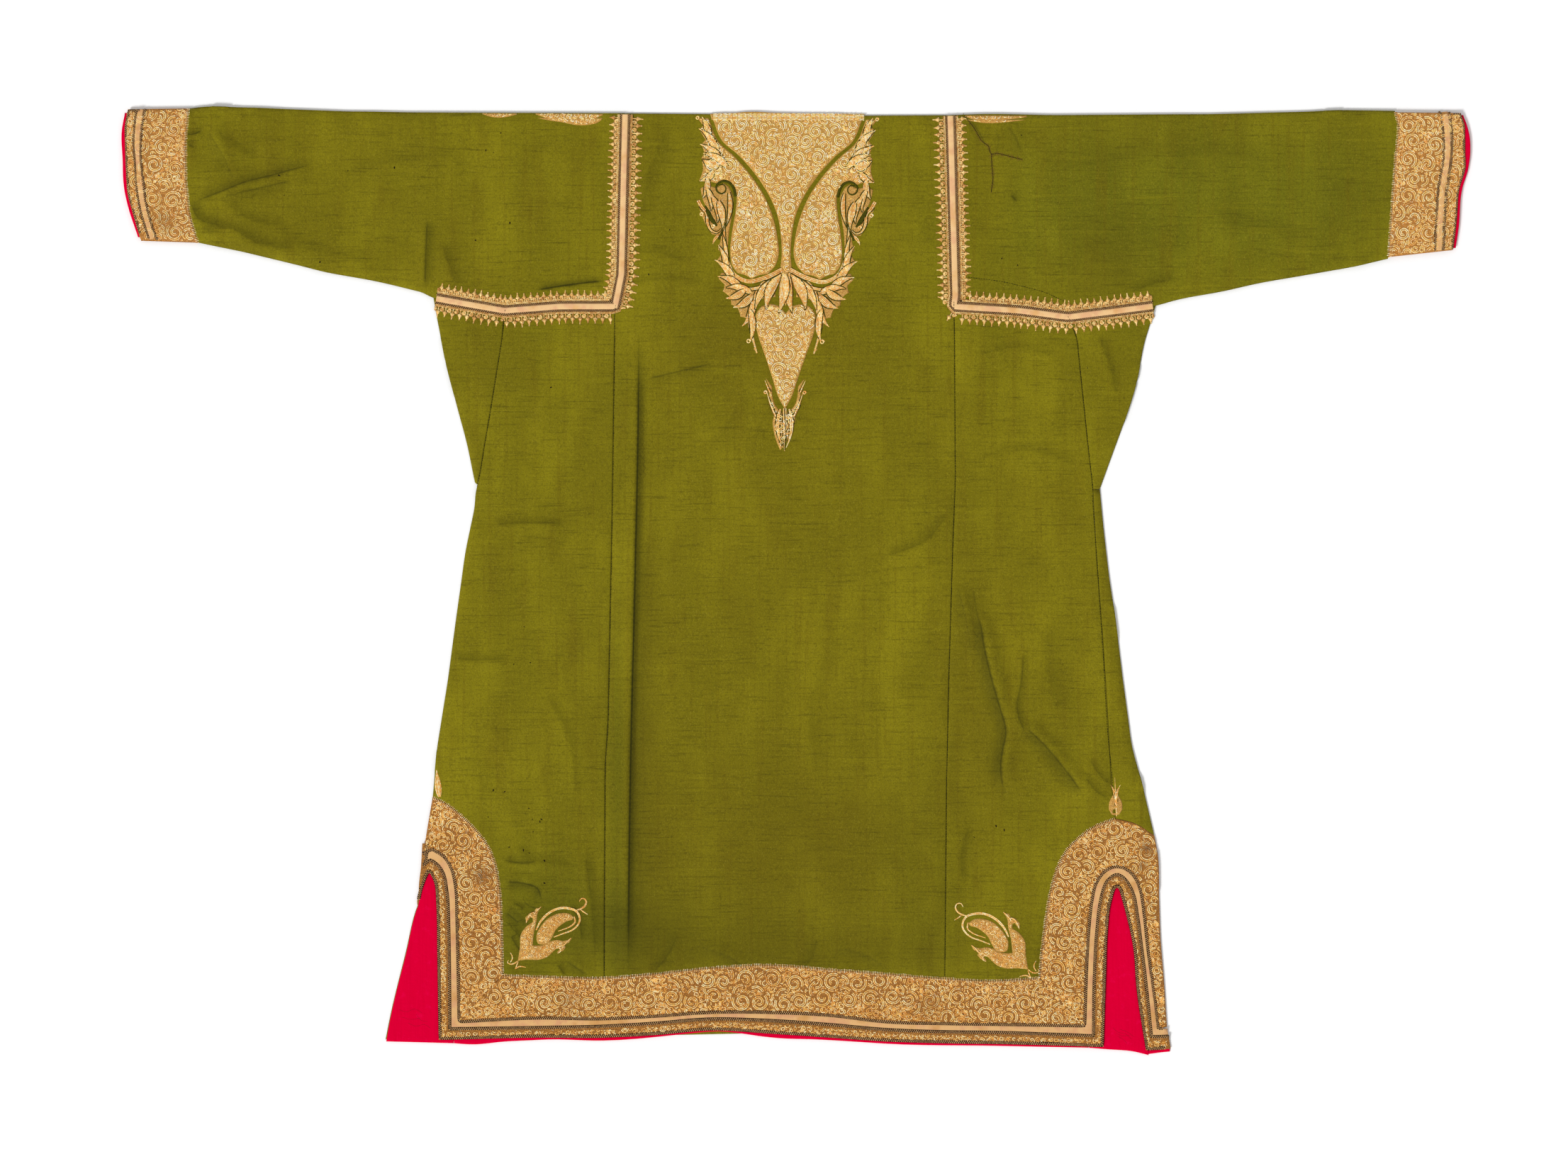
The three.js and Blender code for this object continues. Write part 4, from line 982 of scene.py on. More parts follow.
def cordTree():
    # a raised thread, leaf or band along each line; its width is read from the line
    t = Tree("couchedCord", Round=0.4, Steps=2, Finish="")
    curve = t.add("GeometryNodeMeshToCurve", Mesh=t.start.outputs["Geometry"])
    curve = t.add("GeometryNodeSetCurveNormal", mode={"mode": "Z_UP"}, Curve=curve)
    wide = t.add("GeometryNodeInputNamedAttribute", mode={"data_type": "FLOAT"}, Name="wide")
    curve = t.add("GeometryNodeSetCurveRadius", Curve=curve, Radius=wide)
    tall = t.maths("MULTIPLY", t.start.outputs["Round"], -2.0)
    peak = t.add("ShaderNodeCombineXYZ", Y=tall)
    ridge = t.add("GeometryNodeCurveQuadraticBezier", Resolution=t.start.outputs["Steps"],
                  Start=(-0.5, 0, 0), Middle=peak, End=(0.5, 0, 0))
    ridge = t.add("GeometryNodeSetSplineCyclic", Geometry=ridge, Cyclic=True)
    made = t.add("GeometryNodeCurveToMesh", i0=curve, i1=ridge)
    node = made.node
    if "Scale" in node.inputs:
        radius = t.add("GeometryNodeInputRadius")
        t.join(radius, node.inputs["Scale"])
    node.inputs["Fill Caps"].default_value = True
    made = t.add("GeometryNodeSetShadeSmooth", Geometry=made)
    t.finish(made, t.start.outputs["Finish"])
    return t.close()


def stitchTree(columns):
    # small stitches along each line; a column is (side step, first or second of a pair, finish)
    t = Tree("stitches", Pitch=1.35, Along=1.2, Across=1.8, Height=0.8, Spread=0.9, Seed=3, Uneven=0.15,
             Lean=0.0, **{f"Finish {k}": "" for k in range(len({c[2] for c in columns}))})
    s = t.start.outputs
    curve = t.add("GeometryNodeMeshToCurve", Mesh=s["Geometry"])
    curve = t.add("GeometryNodeResampleCurve", mode={"mode": "LENGTH"}, Curve=curve, Length=s["Pitch"])
    heading = t.add("GeometryNodeInputTangent")
    sideways = t.vector("NORMALIZE", t.vector("CROSS_PRODUCT", heading, (0, 0, 1)))
    order = t.add("GeometryNodeInputIndex")
    odd = t.maths("MODULO", order, 2.0)
    turn = t.add("FunctionNodeAlignRotationToVector", mode={"axis": "X", "pivot_axis": "Z"}, Vector=heading)
    lean = t.add("ShaderNodeCombineXYZ", Z=s["Lean"])
    leaned = t.add("FunctionNodeRotateRotation", mode={"rotation_space": "LOCAL"}, i0=turn, i1=lean)
    size = t.add("ShaderNodeCombineXYZ", X=s["Along"], Y=s["Across"], Z=s["Height"])
    stitch = t.add("GeometryNodeMeshCone", i0=4, i1=1, i2=1, i3=0.0, i4=0.7072, i5=1.0)
    stitch = t.add("GeometryNodeTransform", Geometry=stitch, Rotation=(0, 0, math.pi / 4))
    for step, which, finish in columns:
        carried = t.vector("SCALE", sideways, Scale=t.maths("MULTIPLY", s["Spread"], step))
        moved = t.add("GeometryNodeSetPosition", Geometry=curve, Offset=carried)
        chosen = t.add("FunctionNodeCompare", mode={"data_type": "FLOAT", "operation": "EQUAL"},
                       i0=odd, i1=float(which)) if which >= 0 else True
        shake = t.add("FunctionNodeRandomValue", 1, {"data_type": "FLOAT"},
                      i2=t.maths("SUBTRACT", 1.0, s["Uneven"]), i3=t.maths("ADD", 1.0, s["Uneven"]),
                      ID=order, Seed=s["Seed"])
        grown = t.vector("SCALE", size, Scale=shake)
        placed = t.add("GeometryNodeInstanceOnPoints", Points=moved, Selection=chosen, Instance=stitch,
                       Rotation=leaned, Scale=grown)
        t.finish(placed, s[f"Finish {finish}"])
    return t.close()


# stained or rubbed places in the gold: x, y, reach, strength
wornSpots = [(469, -358, 8, 0.9), (463.5, -380, 6, 0.75), (-417, -394, 11, 0.8), (-404, -388, 7, 0.5),
             (-300, -560, 14, 0.3), (180, -566, 16, 0.3), (474, -330, 7, 0.5), (-840, 478, 16, 0.35)]
# how round each kind of cord is, and its steps across
cordForms = {
    "couched": {"Round": 0.42, "Steps": 2}, "line": {"Round": 0.4, "Steps": 2},
    "laid": {"Round": 0.3, "Steps": 2}, "tear": {"Round": 0.25, "Steps": 2},
    "tooth": {"Round": 0.24, "Steps": 2}, "channel": {"Round": 0.16, "Steps": 3},
    "leaf": {"Round": 0.075, "Steps": 4}, "whipBed": {"Round": 0.07, "Steps": 2},
    "tape": {"Round": 0.05, "Steps": 4}, "gap": {"Round": 0.05, "Steps": 3},
    "braidBed": {"Round": 0.035, "Steps": 4},
}
cord = cordTree()
whip = stitchTree([(-0.5, 0, 0), (-0.5, 1, 1), (0.5, 1, 0), (0.5, 0, 1)])
row = stitchTree([(0, -1, 0)])


def sew(name, tree, lines, slot, wide=1.0, glow=None, nodes=(), carries=False, **values):
    # lines are rows of x, y, z in millimetres; widths and glow may differ from line to line
    spots, edges, widths, glows = [], [], [], []
    for k, path in enumerate(lines):
        base = len(spots)
        spots += path.tolist()
        edges += [(base + i, base + i + 1) for i in range(len(path) - 1)]
        here = wide[k] if isinstance(wide, list) else wide
        widths += np.broadcast_to(here, len(path)).tolist()
        glows += [0.5 if glow is None else glow[k]] * len(path)
    mesh = bpy.data.meshes.new(name + "Lines")
    mesh.from_pydata((np.array(spots) * mm).tolist(), edges, [])
    plan = np.array(spots)[:, :2]
    worn = np.zeros(len(plan))
    for x, y, reach, strong in wornSpots:
        worn = np.maximum(worn, strong * np.exp(-((plan - (x, y)) ** 2).sum(1) / reach**2))
    giveValues(mesh, {"wide": np.array(widths) * mm, "glow": glows, "worn": worn})
    guide = putInScene(name + "Lines", mesh)
    work = guide.modifiers.new("work", "NODES")
    work.node_group = tree.tree
    for title, value in values.items():
        work[tree.key[title.replace("_", " ")]] = value
    bpy.context.view_layer.update()
    ready = guide.evaluated_get(bpy.context.evaluated_depsgraph_get())
    made = bpy.data.meshes.new_from_object(ready)
    made.name = name
    if made.materials and made.materials[0] is None:
        made.materials.pop(index=0)
    bpy.data.objects.remove(guide)
    piece = putInScene(name, made)
    triangles = sum(len(p.vertices) - 2 for p in made.polygons)
    print("  sewn", name, len(lines), "lines,", triangles, "triangles")
    if carries:
        ground.add(*meshOf(piece))
    seat(piece, nodes)


def inMetres(sizes):
    return {k: v * mm for k, v in sizes.items()}


# the height of thread that runs past the edge of what lies there
pastEdge = 1.4


def settled(path, lift=0.1, reach=0.0):
    # set down on what lies there, clear of the highest cloth within reach to either side
    height = ground.height(path, pastEdge)
    if reach:
        for by in (-reach, reach):
            height = np.maximum(height, ground.height(offset(path, by), pastEdge))
        padded = np.pad(height, 1, mode="edge")
        height = np.maximum(height, (padded[:-2] + padded[1:-1] + padded[2:]) / 3)
    return np.column_stack([path, height + lift])


def clipRuns(path, keep, least=3):
    runs, at = [], []
    for point, good in zip(path, keep):
        if good:
            at.append(point)
        else:
            if len(at) >= least:
                runs.append(np.array(at))
            at = []
    if len(at) >= least:
        runs.append(np.array(at))
    return runs


railSizes = {"step": 3.0, "shortest": 40.0}


def sharedRail(loop, others, within=1.6, shift=0.0, away=False):
    # the stretches of an outline that run beside (or away from) its neighbours, moved sideways by shift
    path = spaced(np.vstack([loop, loop[:1]]), railSizes["step"])[:-1]
    gap = np.min([closest(path, other, True)[0] for other in others], axis=0)
    near = gap > within if away else gap < within
    if not near.all():
        start = int(np.flatnonzero(~near)[0])
        path, near = np.roll(path, -start, 0), np.roll(near, -start)
    runs = [r for r in clipRuns(path, near) if runLength(r)[-1] > railSizes["shortest"]]
    return [offset(r, shift) for r in runs]


# the large curls: shares of their cell, radians turned, and millimetres kept from the rim and each other
scrollForm = {"jitter": 0.2, "inside": 0.22, "turn": 9.4, "points": 34, "start": 0.4, "tighten": 0.034,
              "fromRim": 1.6, "apart": 4.2, "halfWide": 1.05, "keepOut": 2.45}


def scrollsIn(loop, cell, margin):
    # large curls with a leaf on each, kept apart from one another
    form = scrollForm
    seeds = honeycomb(loop.min(0) + cell * 0.3, loop.max(0), cell)
    seeds += rng.uniform(-form["jitter"], form["jitter"], seeds.shape) * cell
    seeds = seeds[depthIn(seeds, loop) > cell * form["inside"]]
    paths = []
    for k, seed in enumerate(seeds):
        hand, start = (1 if k % 2 else -1), rng.uniform(0, 6.28)
        theta = np.linspace(0, form["turn"], form["points"])
        radius = cell * rng.uniform(0.85, 1.1) * (form["start"] - form["tighten"] * theta)
        curl = seed + np.column_stack([radius * np.cos(start + hand * theta),
                                       radius * np.sin(start + hand * theta)])
        out = curl[0] - seed
        side = np.array([out[1], -out[0]]) * hand
        leaf = flow([curl[0], seed + 1.25 * out + 0.5 * side, seed + 1.2 * out + 1.25 * side,
                     seed + 0.7 * out + 1.7 * side], 5)
        back = flow([seed + 1.25 * out + 0.5 * side, seed + 1.75 * out + 0.75 * side,
                     seed + 1.2 * out + 1.3 * side], 5)
        for path in (curl, leaf, back):
            keep = depthIn(path, loop) > margin + form["fromRim"]
            for earlier in paths:
                if np.hypot(*(earlier[0] - path[0])) < 3 * cell:
                    keep &= closest(path, earlier)[0] > form["apart"]
            paths += clipRuns(path, keep, 4)
    return paths


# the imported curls: shares of their cell, and millimetres let past a mitred joint
couchForm = {"jitter": 0.3, "outside": 0.6, "reach": 1.12, "wobble": 0.07, "narrowest": 0.62,
             "pastJoint": 0.4, "outerJoint": 0.8}


def couch(loop, cell, pitch, margin, keepOut, joints):
    # curls of thread packed side by side, each wound in its own small place
    form = couchForm
    seeds = honeycomb(loop.min(0) - cell, loop.max(0) + cell, cell)
    seeds += rng.uniform(-form["jitter"], form["jitter"], seeds.shape) * cell
    seeds = seeds[depthIn(seeds, loop) > -cell * form["outside"]]
    turns = cell * form["reach"] / pitch
    spin = 2 * math.pi * turns
    theta = np.sqrt(np.linspace(0.02, 1, int(turns * turns * pitch * math.pi / 2.2))) * spin
    radius = pitch * theta / (2 * math.pi)
    drawn, spans = [], []
    for seed in seeds:
        hand, start, heading = rng.choice([-1, 1]), rng.uniform(0, 6.28), rng.uniform(0, 3.14)
        squeeze = rng.uniform(form["narrowest"], 1.0)
        wobble = 1 + form["wobble"] * np.sin(3 * theta + start)
        u = radius * wobble * np.cos(hand * theta + start)
        v = radius * wobble * np.sin(hand * theta + start) * squeeze
        curl = seed + rotated(u, v, heading)
        near = seeds[np.hypot(*(seeds - seed).T) < 3 * cell]
        gap = np.hypot(curl[:, None, 0] - near[None, :, 0], curl[:, None, 1] - near[None, :, 1])
        drawn.append(curl)
        spans.append(gap.argmin(1) == int(np.flatnonzero((near == seed).all(1))[0]))
    points = np.vstack(drawn)
    depth = depthIn(points, loop)
    good = depth > margin
    for joint in joints:
        near = np.flatnonzero((depth > -form["outerJoint"]) & ~good)
        good[near] |= closest(points[near], joint)[0] < margin + form["pastJoint"]
    for path, reach in keepOut:
        near = np.flatnonzero(nearBox(points, path, reach) & good)
        if len(near):
            good[near] = closest(points[near], path)[0] > reach
    runs, at = [], 0
    for curl, mine in zip(drawn, spans):
        runs += clipRuns(curl, mine & good[at:at + len(curl)])
        at += len(curl)
    return runs


# the cell of each packed curl, the pitch and width of its thread, its margin, and the large curls' cell
couchSizes = {
    "hem": {"cell": 11.5, "pitch": 2.15, "wide": 1.65, "scroll": 29.0},
    "edging": {"cell": 8.5, "pitch": 2.0, "wide": 1.55, "margin": 3.4},
    "cuffs": {"cell": 11.5, "pitch": 2.15, "wide": 1.65, "scroll": 27.0},
    "neck": {"cell": 10.5, "pitch": 2.05, "wide": 1.6, "scroll": 24.0},
    "paisley": {"cell": 7.5, "pitch": 1.9, "wide": 1.4, "margin": 1.2},
    "epaulettes": {"cell": 7.5, "pitch": 1.9, "wide": 1.4, "margin": 0.6},
}


def layCords(name, regions, material, cell, pitch, wide, margin=1.3, scroll=0.0, joints=()):
    form = scrollForm
    runs, bright = [], []
    for loop in regions:
        paths = scrollsIn(loop, scroll, margin) if scroll else []
        bright += [offset(path, by) for path in paths for by in (-form["halfWide"], form["halfWide"])]
        runs += couch(loop, cell, pitch, margin, [(path, form["keepOut"]) for path in paths], joints)
    dull = len(runs)
    runs += bright
    height = ground.height(np.vstack(runs), pastEdge) - 0.05
    lines, at = [], 0
    for run in runs:
        lift = rng.uniform(0, 0.22) if len(lines) < dull else 0.25
        lines.append(np.column_stack([run, height[at:at + len(run)] + lift]))
        at += len(run)
    # the large curls' threads get a higher glow: a lighter tone and more painted glints
    glow = rng.uniform(0, 1, dull).tolist() + rng.uniform(0.3, 1.05, len(bright)).tolist()
    sew(name, cord, lines, "gold_work", wide, glow, Finish=material, **cordForms["couched"])


hemLoops = [borderLoops[n] for n in ("hem_border", "vent_border_left", "vent_border_right")]
mitres = [r for loop in hemLoops[1:] for r in sharedRail(hemLoops[0], [loop])]
layCords("couching_hem", hemLoops, threadHem, joints=mitres, **couchSizes["hem"])
layCords("couching_edging", [borderLoops["border_edging"]], threadHem, **couchSizes["edging"])
layCords("couching_cuffs", [borderLoops["cuff_left"], borderLoops["cuff_right"]], threadCuff,
         **couchSizes["cuffs"])
neckFilled = [plateLoops[n] for n in ("neck_field", "neck_boteh_left", "neck_boteh_right", "neck_heart",
                                      "neck_finial")]
layCords("couching_neck", neckFilled, threadNeck, **couchSizes["neck"])
# short curls over the shoulder fold, in rows at these heights
foldRows = {"from": -109, "to": 88, "step": 6.5, "rows": (614.6, 616.6, 618.6, 620.5, 622.2), "wide": 1.6}
foldRuns = []
for start in np.arange(foldRows["from"], foldRows["to"], foldRows["step"]):
    sway = rng.uniform(-0.5, 0.5)
    for by in foldRows["rows"]:
        foldRuns.append(flow([(start, by + sway), (start + 3, by + 0.7), (start + 6.2, by - sway)], 3))
glow = rng.uniform(0, 1, len(foldRuns)).tolist()
sew("couching_fold", cord, [settled(r, 0.0) for r in foldRuns], "gold_work", foldRows["wide"], glow,
    Finish=threadNeck, **cordForms["couched"])
print("couching laid")

# black and cream stitches by turns, on a narrow bed
whipSizes = {"Pitch": 1.35, "Along": 1.3, "Across": 1.8, "Height": 0.75, "Spread": 1.7}
whipBed = {"wide": 4.6, "sink": -0.1, "reach": 2.4, "lift": 0.3}


def layWhips(name, paths, grow=1.0, bed=greenThread):
    strips = [settled(spaced(p, railSizes["step"]), whipBed["sink"], whipBed["reach"] * grow) for p in paths]
    sew(name + "_ground", cord, strips, "green_cloth", whipBed["wide"] * grow, Finish=bed,
        **cordForms["whipBed"])
    sizes = {k: v * (grow if k in ("Across", "Spread") else 1) for k, v in whipSizes.items()}
    sew(name, whip, [p + (0, 0, whipBed["lift"]) for p in strips], "gold_work", Seed=5, Uneven=0.16,
        Finish_0=blackThread, Finish_1=creamThread, **inMetres(sizes))


rails = sharedRail(borderLoops["border_tape"], hemLoops)
rails += sharedRail(borderLoops["border_tape"], [borderLoops["border_edging"]])
for rail in sharedRail(borderLoops["border_edging"], [borderLoops["border_tape"]], 4, 2.0, True):
    rails.append(spaced(rail, railSizes["step"])[5:-5])
rails.append(route((-489, -385.5), (-494.5, -398), (-498.6, -409), (-502, -424)))
rails.append(route((-490.6, -352), (-491.4, -366), (-493.2, -379)))
layWhips("whips_border", rails)

combSizes = {"Pitch": 2.3, "Along": 0.95, "Across": 4.6, "Height": 0.8, "Spread": 0.0}
backLoops = [clothLoops[n] for n in ("back_centre", "back_side_left", "back_side_right")]
combRails = [r for loop in hemLoops for r in sharedRail(loop, backLoops)]
for side in ("left", "right"):
    combRails += sharedRail(borderLoops[f"cuff_{side}"], [clothLoops[f"sleeve_{side}"]], 2.2)
sew("comb_stitches", row, [settled(spaced(p, railSizes["step"]), 0.1, 1.6) for p in combRails], "gold_work",
    Seed=8, Uneven=0.22, Finish_0=combThread, **inMetres(combSizes))

braidPaths = {
    "left": route((-226.3, 622), (-231.1, 408.7), (-239.6, 366.2), (-313.3, 366.2), (-387, 360.5),
                 (-436.1, 369), (-478, 376.5)),
    "right": route((207.4, 620), (214, 380.4), (212.2, 366), (299.1, 360.5), (364.3, 352), (418.2, 358.6),
                  (477, 366.4)),
}
# widths, and how far out the whips, rails and tips of a braid are from its middle
braidSizes = {"tape": 9.6, "whip": 5.6, "ground": 21.4, "rails": (7.8, 9.4), "railWide": 1.5,
              "outer": {"tooth": 10.0, "tip": 23.6}, "inner": {"tooth": 8.9, "tip": 21.4}, "coilWide": 2.0}
# a tooth: its stalk's root, its crown in shares of the tip, and the width at each point up to the tip
toothForm = {"root": 9.6, "crown": (0.63, 0.67, 0.76, 0.85), "wide": [1.9, 2.2, 7.6, 5.4, 2.4, 1.5, 2.1]}
# the small coil between two stalks: how far out, its radii, its turn and its points
coilForm = {"out": 0.53, "from": 3.0, "to": 0.6, "turn": 10.5, "points": 13}
groundBraid = goldGround("goldGroundBraid", rgb(200, 146, 76), rgb(130, 90, 36), rgb(84, 58, 20))
threadBraid = goldThread("goldThreadBraid", rgb(232, 180, 98), rgb(188, 130, 62), rgb(255, 226, 156))


def across(path, at, out, slide=0.0):
    # the point out to the left of a path, at a length along it
    run = runLength(path)
    here = np.array([np.interp(at + slide, run, path[:, k]) for k in range(2)])
    way = np.array([np.interp(at + 2, run, path[:, k]) - np.interp(at - 2, run, path[:, k])
                    for k in range(2)])
    way /= np.hypot(*way) + 1e-9
    return here + out * np.array([-way[1], way[0]])


def layBraid(side):
    path = spaced(braidPaths[side], 4.0)
    outer = 1 if side == "left" else -1
    b = braidSizes
    sew(f"gold_armhole_braid_{side}", cord, [settled(path, -0.1, 9)], "gold_work", b["ground"],
        nodes=[f"armhole_braid_{side}"], carries=True, Finish=groundBraid, **cordForms["braidBed"])
    sew(f"tape_armhole_{side}", cord, [settled(path, 0.0, 3)], "woven_tape", b["tape"], carries=True,
        Finish=paleTape, **cordForms["tape"])
    threads, widths = [], []
    total = runLength(path)[-1]
    coilTurns = list(zip(np.linspace(coilForm["from"], coilForm["to"], coilForm["points"]),
                         np.linspace(0, coilForm["turn"], coilForm["points"])))
    for turn in (-1, 1):
        for out in b["rails"]:
            rail = offset(path, turn * out)
            keep = closest(rail, path)[0] > out * 0.96
            for run in clipRuns(rail, keep, 4):
                threads.append(settled(run, 0.4))
                widths.append(b["railWide"])
        teeth = b["outer"] if turn == outer else b["inner"]
        tip, tooth = teeth["tip"], teeth["tooth"]
        for at in np.linspace(tooth / 2, total - tooth / 2, round(total / tooth)):
            # none where the inside of a corner would crowd it
            if closest(across(path, at, turn * 14)[None], path)[0][0] < 12.5:
                continue
            reach = tip + rng.uniform(-1.2, 0.8)
            sway = rng.uniform(-0.6, 0.6)
            outs = [toothForm["root"]] + [share * tip for share in toothForm["crown"]] + [reach - 1, reach]
            spike = np.array([across(path, at, turn * d, sway * k / 5) for k, d in enumerate(outs)])
            threads.append(settled(spike, 0.2))
            widths.append(toothForm["wide"])
            middle = coilForm["out"] * tip
            coil = [across(path, at, turn * (middle + r * math.sin(a)), tooth / 2 + r * math.cos(a))
                    for r, a in coilTurns]
            threads.append(settled(np.array(coil), 0.35))
            widths.append(b["coilWide"])
    glow = rng.uniform(0, 1, len(threads)).tolist()
    sew(f"braid_teeth_{side}", cord, threads, "gold_work", widths, glow, Finish=threadBraid,
        **cordForms["tooth"])
    return [offset(path, b["whip"]), offset(path, -b["whip"])]


braidRails = layBraid("left") + layBraid("right")
layWhips("whips_braid", braidRails, 0.66, groundBraid)
print("braids laid")

cuffLines = {
    "left": [route((-877.4, 628), (-881.2, 589.2), (-879.3, 556.1), (-877.4, 523.1), (-872.7, 496.6),
                   (-861.4, 457)),
             route((-866.1, 629), (-870.9, 595.8), (-871.8, 562.7), (-868, 529.7), (-864.3, 501.3),
                   (-857.6, 474.9), (-850.5, 455))],
    "right": [route((859.5, 626), (863.3, 598.7), (863.3, 555.2), (858.6, 533.5), (854.8, 490),
                    (852.9, 440)),
              route((872.7, 625), (875.5, 598.7), (873.7, 555.2), (868.9, 519.3), (866.1, 483.4),
                    (864.2, 441))],
}
cuffSizes = {"tape": 8.8, "points": 40, "edgeIn": 1.9, "edgeBeyond": 874, "shortest": 30, "whips": 0.72}


def layCuffLines(side):
    one, two = (spaced(flow(path), 4.0) for path in cuffLines[side])
    middle = (along(one, cuffSizes["points"]) + along(two, cuffSizes["points"])) / 2
    sew(f"tape_cuff_{side}", cord, [settled(middle, 0.3, 4)], "woven_tape", cuffSizes["tape"], carries=True,
        Finish=tapeCloth, **cordForms["tape"])
    sign = -1 if side == "left" else 1
    rim = borderLoops[f"cuff_{side}"]
    rim = np.vstack([rim, rim[:1]])
    edge = clipRuns(offset(rim, cuffSizes["edgeIn"]), sign * rim[:, 0] > cuffSizes["edgeBeyond"])
    return [one, two] + [r for r in edge if runLength(r)[-1] > cuffSizes["shortest"]]


layWhips("whips_cuffs", layCuffLines("left") + layCuffLines("right"), cuffSizes["whips"])
print("cuffs dressed")

# half of the motif: x out from the middle, y down from its top
neckPlace = {"x": -10.0, "y": 623.2, "tilt": -0.0087}
# leaves: root x and y, tip x and y, width, bend; bands: width and path; curls: x, y, radius
neckLeafRows = [
    (104, -34, 114, -5, 7, 0.06), (93, -58, 118, -21, 8, 0.12), (85, -72, 116, -42, 9, 0.12),
    (80, -72, 112, -54, 8, 0.1), (91, -70, 113, -62, 9.8, -0.1), (98, -77, 116, -91, 7, -0.15),
    (106, -88, 112, -114, 7, -0.1), (106, -102, 101, -131, 6.5, -0.1), (99, -112, 92, -147, 7, -0.1),
    (91, -118, 85, -155, 8, -0.06), (77, -106, 81, -152, 5, -0.08), (90, -163, 98, -175, 4, 0.1),
    (81, -209, 86, -160, 5, 0.06), (80, -214, 91, -176, 6.5, 0.1), (70, -228, 95, -196, 8, 0.12),
    (59, -235, 91, -218, 8, 0.12), (46, -240, 80, -233, 8, 0.12), (55, -236, 80, -247, 8, -0.1),
    (45, -242, 70, -259, 9, -0.12), (44, -251, 58, -284, 8, -0.12), (48, -262, 48, -306, 7, -0.1),
    (16, -222, 41, -262, 9, 0.1), (9, -218, 26, -262, 11, 0.1), (2, -214, 9, -266, 11, -0.05),
    (6, -394, 1.8, -446, 4.6, 0.1), (1.6, -393, 0.3, -450, 3.0, 0.0),
]
neckBandRows = [
    (5.7, [(118, -117), (112, -127), (107, -132), (105, -148), (99, -158), (92, -160), (87, -155)]),
    (8.0, [(7, -214), (31, -229), (43, -254), (46, -288), (38, -320)]),
    (7.0, [(5, -208), (28, -219), (52, -224), (70, -214), (79, -192), (83, -160), (83, -128)]),
    (5.0, [(14, -222), (34, -232), (56, -234), (74, -222), (84, -198)]),
    (3.0, [(20, -372), (27, -356)]), (3.6, [(12, -404), (19, -388), (24, -372)]),
]
curlRows = [(119.8, -6.8, 2.4), (97.8, -151.6, 2.6), (113.2, -135.4, 2.6), (49, -304, 3.0), (26, -372, 2.4)]
spiralRows = [(67.7, -111), (71.7, -98), (76.6, -92.7), (83.1, -90.6), (90.5, -93.1), (94.2, -98.8),
              (92.9, -104.5), (88, -107.7), (82.3, -105.3), (81.2, -100.4), (84.8, -95.5), (90.5, -96.3)]
# bare green between the leaves, darker than the cloth as painted shade between the raised gold: widths and
# path
neckGapRows = [
    ([1.6, 5.6, 7.0, 6.0, 2.2], [(108.5, -124), (103, -135), (99.5, -142), (95.5, -147.5), (92.5, -151)]),
    ([1.2, 2.4, 3.4, 2.4], [(78, -143), (82, -153), (87, -162), (90, -169)]),
]
leafSwell = np.array([0.42, 0.8, 1.0, 1.0, 0.86, 0.6, 0.3, 0.06])
# how much wider a leaf is than its row says, the neck spirals' widths, and how a path is spaced
neckSizes = {"leaf": 1.28, "spiralFrom": 4.2, "spiralTo": 1.3, "edging": 1.25, "bandStep": 4.0}


def neckSpot(points, side):
    points = np.asarray(points, float)
    x, y = side * points[:, 0], points[:, 1]
    c, s = math.cos(neckPlace["tilt"]), math.sin(neckPlace["tilt"])
    return np.column_stack([neckPlace["x"] + x * c - y * s, neckPlace["y"] + x * s + y * c])


def leafSpine(root, tip, bend, side=1):
    root, tip = np.asarray(root, float), np.asarray(tip, float)
    t = np.linspace(0, 1, len(leafSwell))[:, None]
    way = tip - root
    return root + way * t + side * bend * 4 * t * (1 - t) * np.array([-way[1], way[0]])


def outlineAlong(path, widths):
    left = np.array([offset(path, w / 2)[k] for k, w in enumerate(widths)])
    right = np.array([offset(path, -w / 2)[k] for k, w in enumerate(widths)])
    return np.vstack([right, left[::-1]])


# the threads on a leaf: their pitch, how much of the leaf they spread over, and their widths
leafThreads = {"pitch": 2.0, "spread": 0.86, "share": 0.8, "least": 0.4, "most": 1.6, "curl": 1.7}


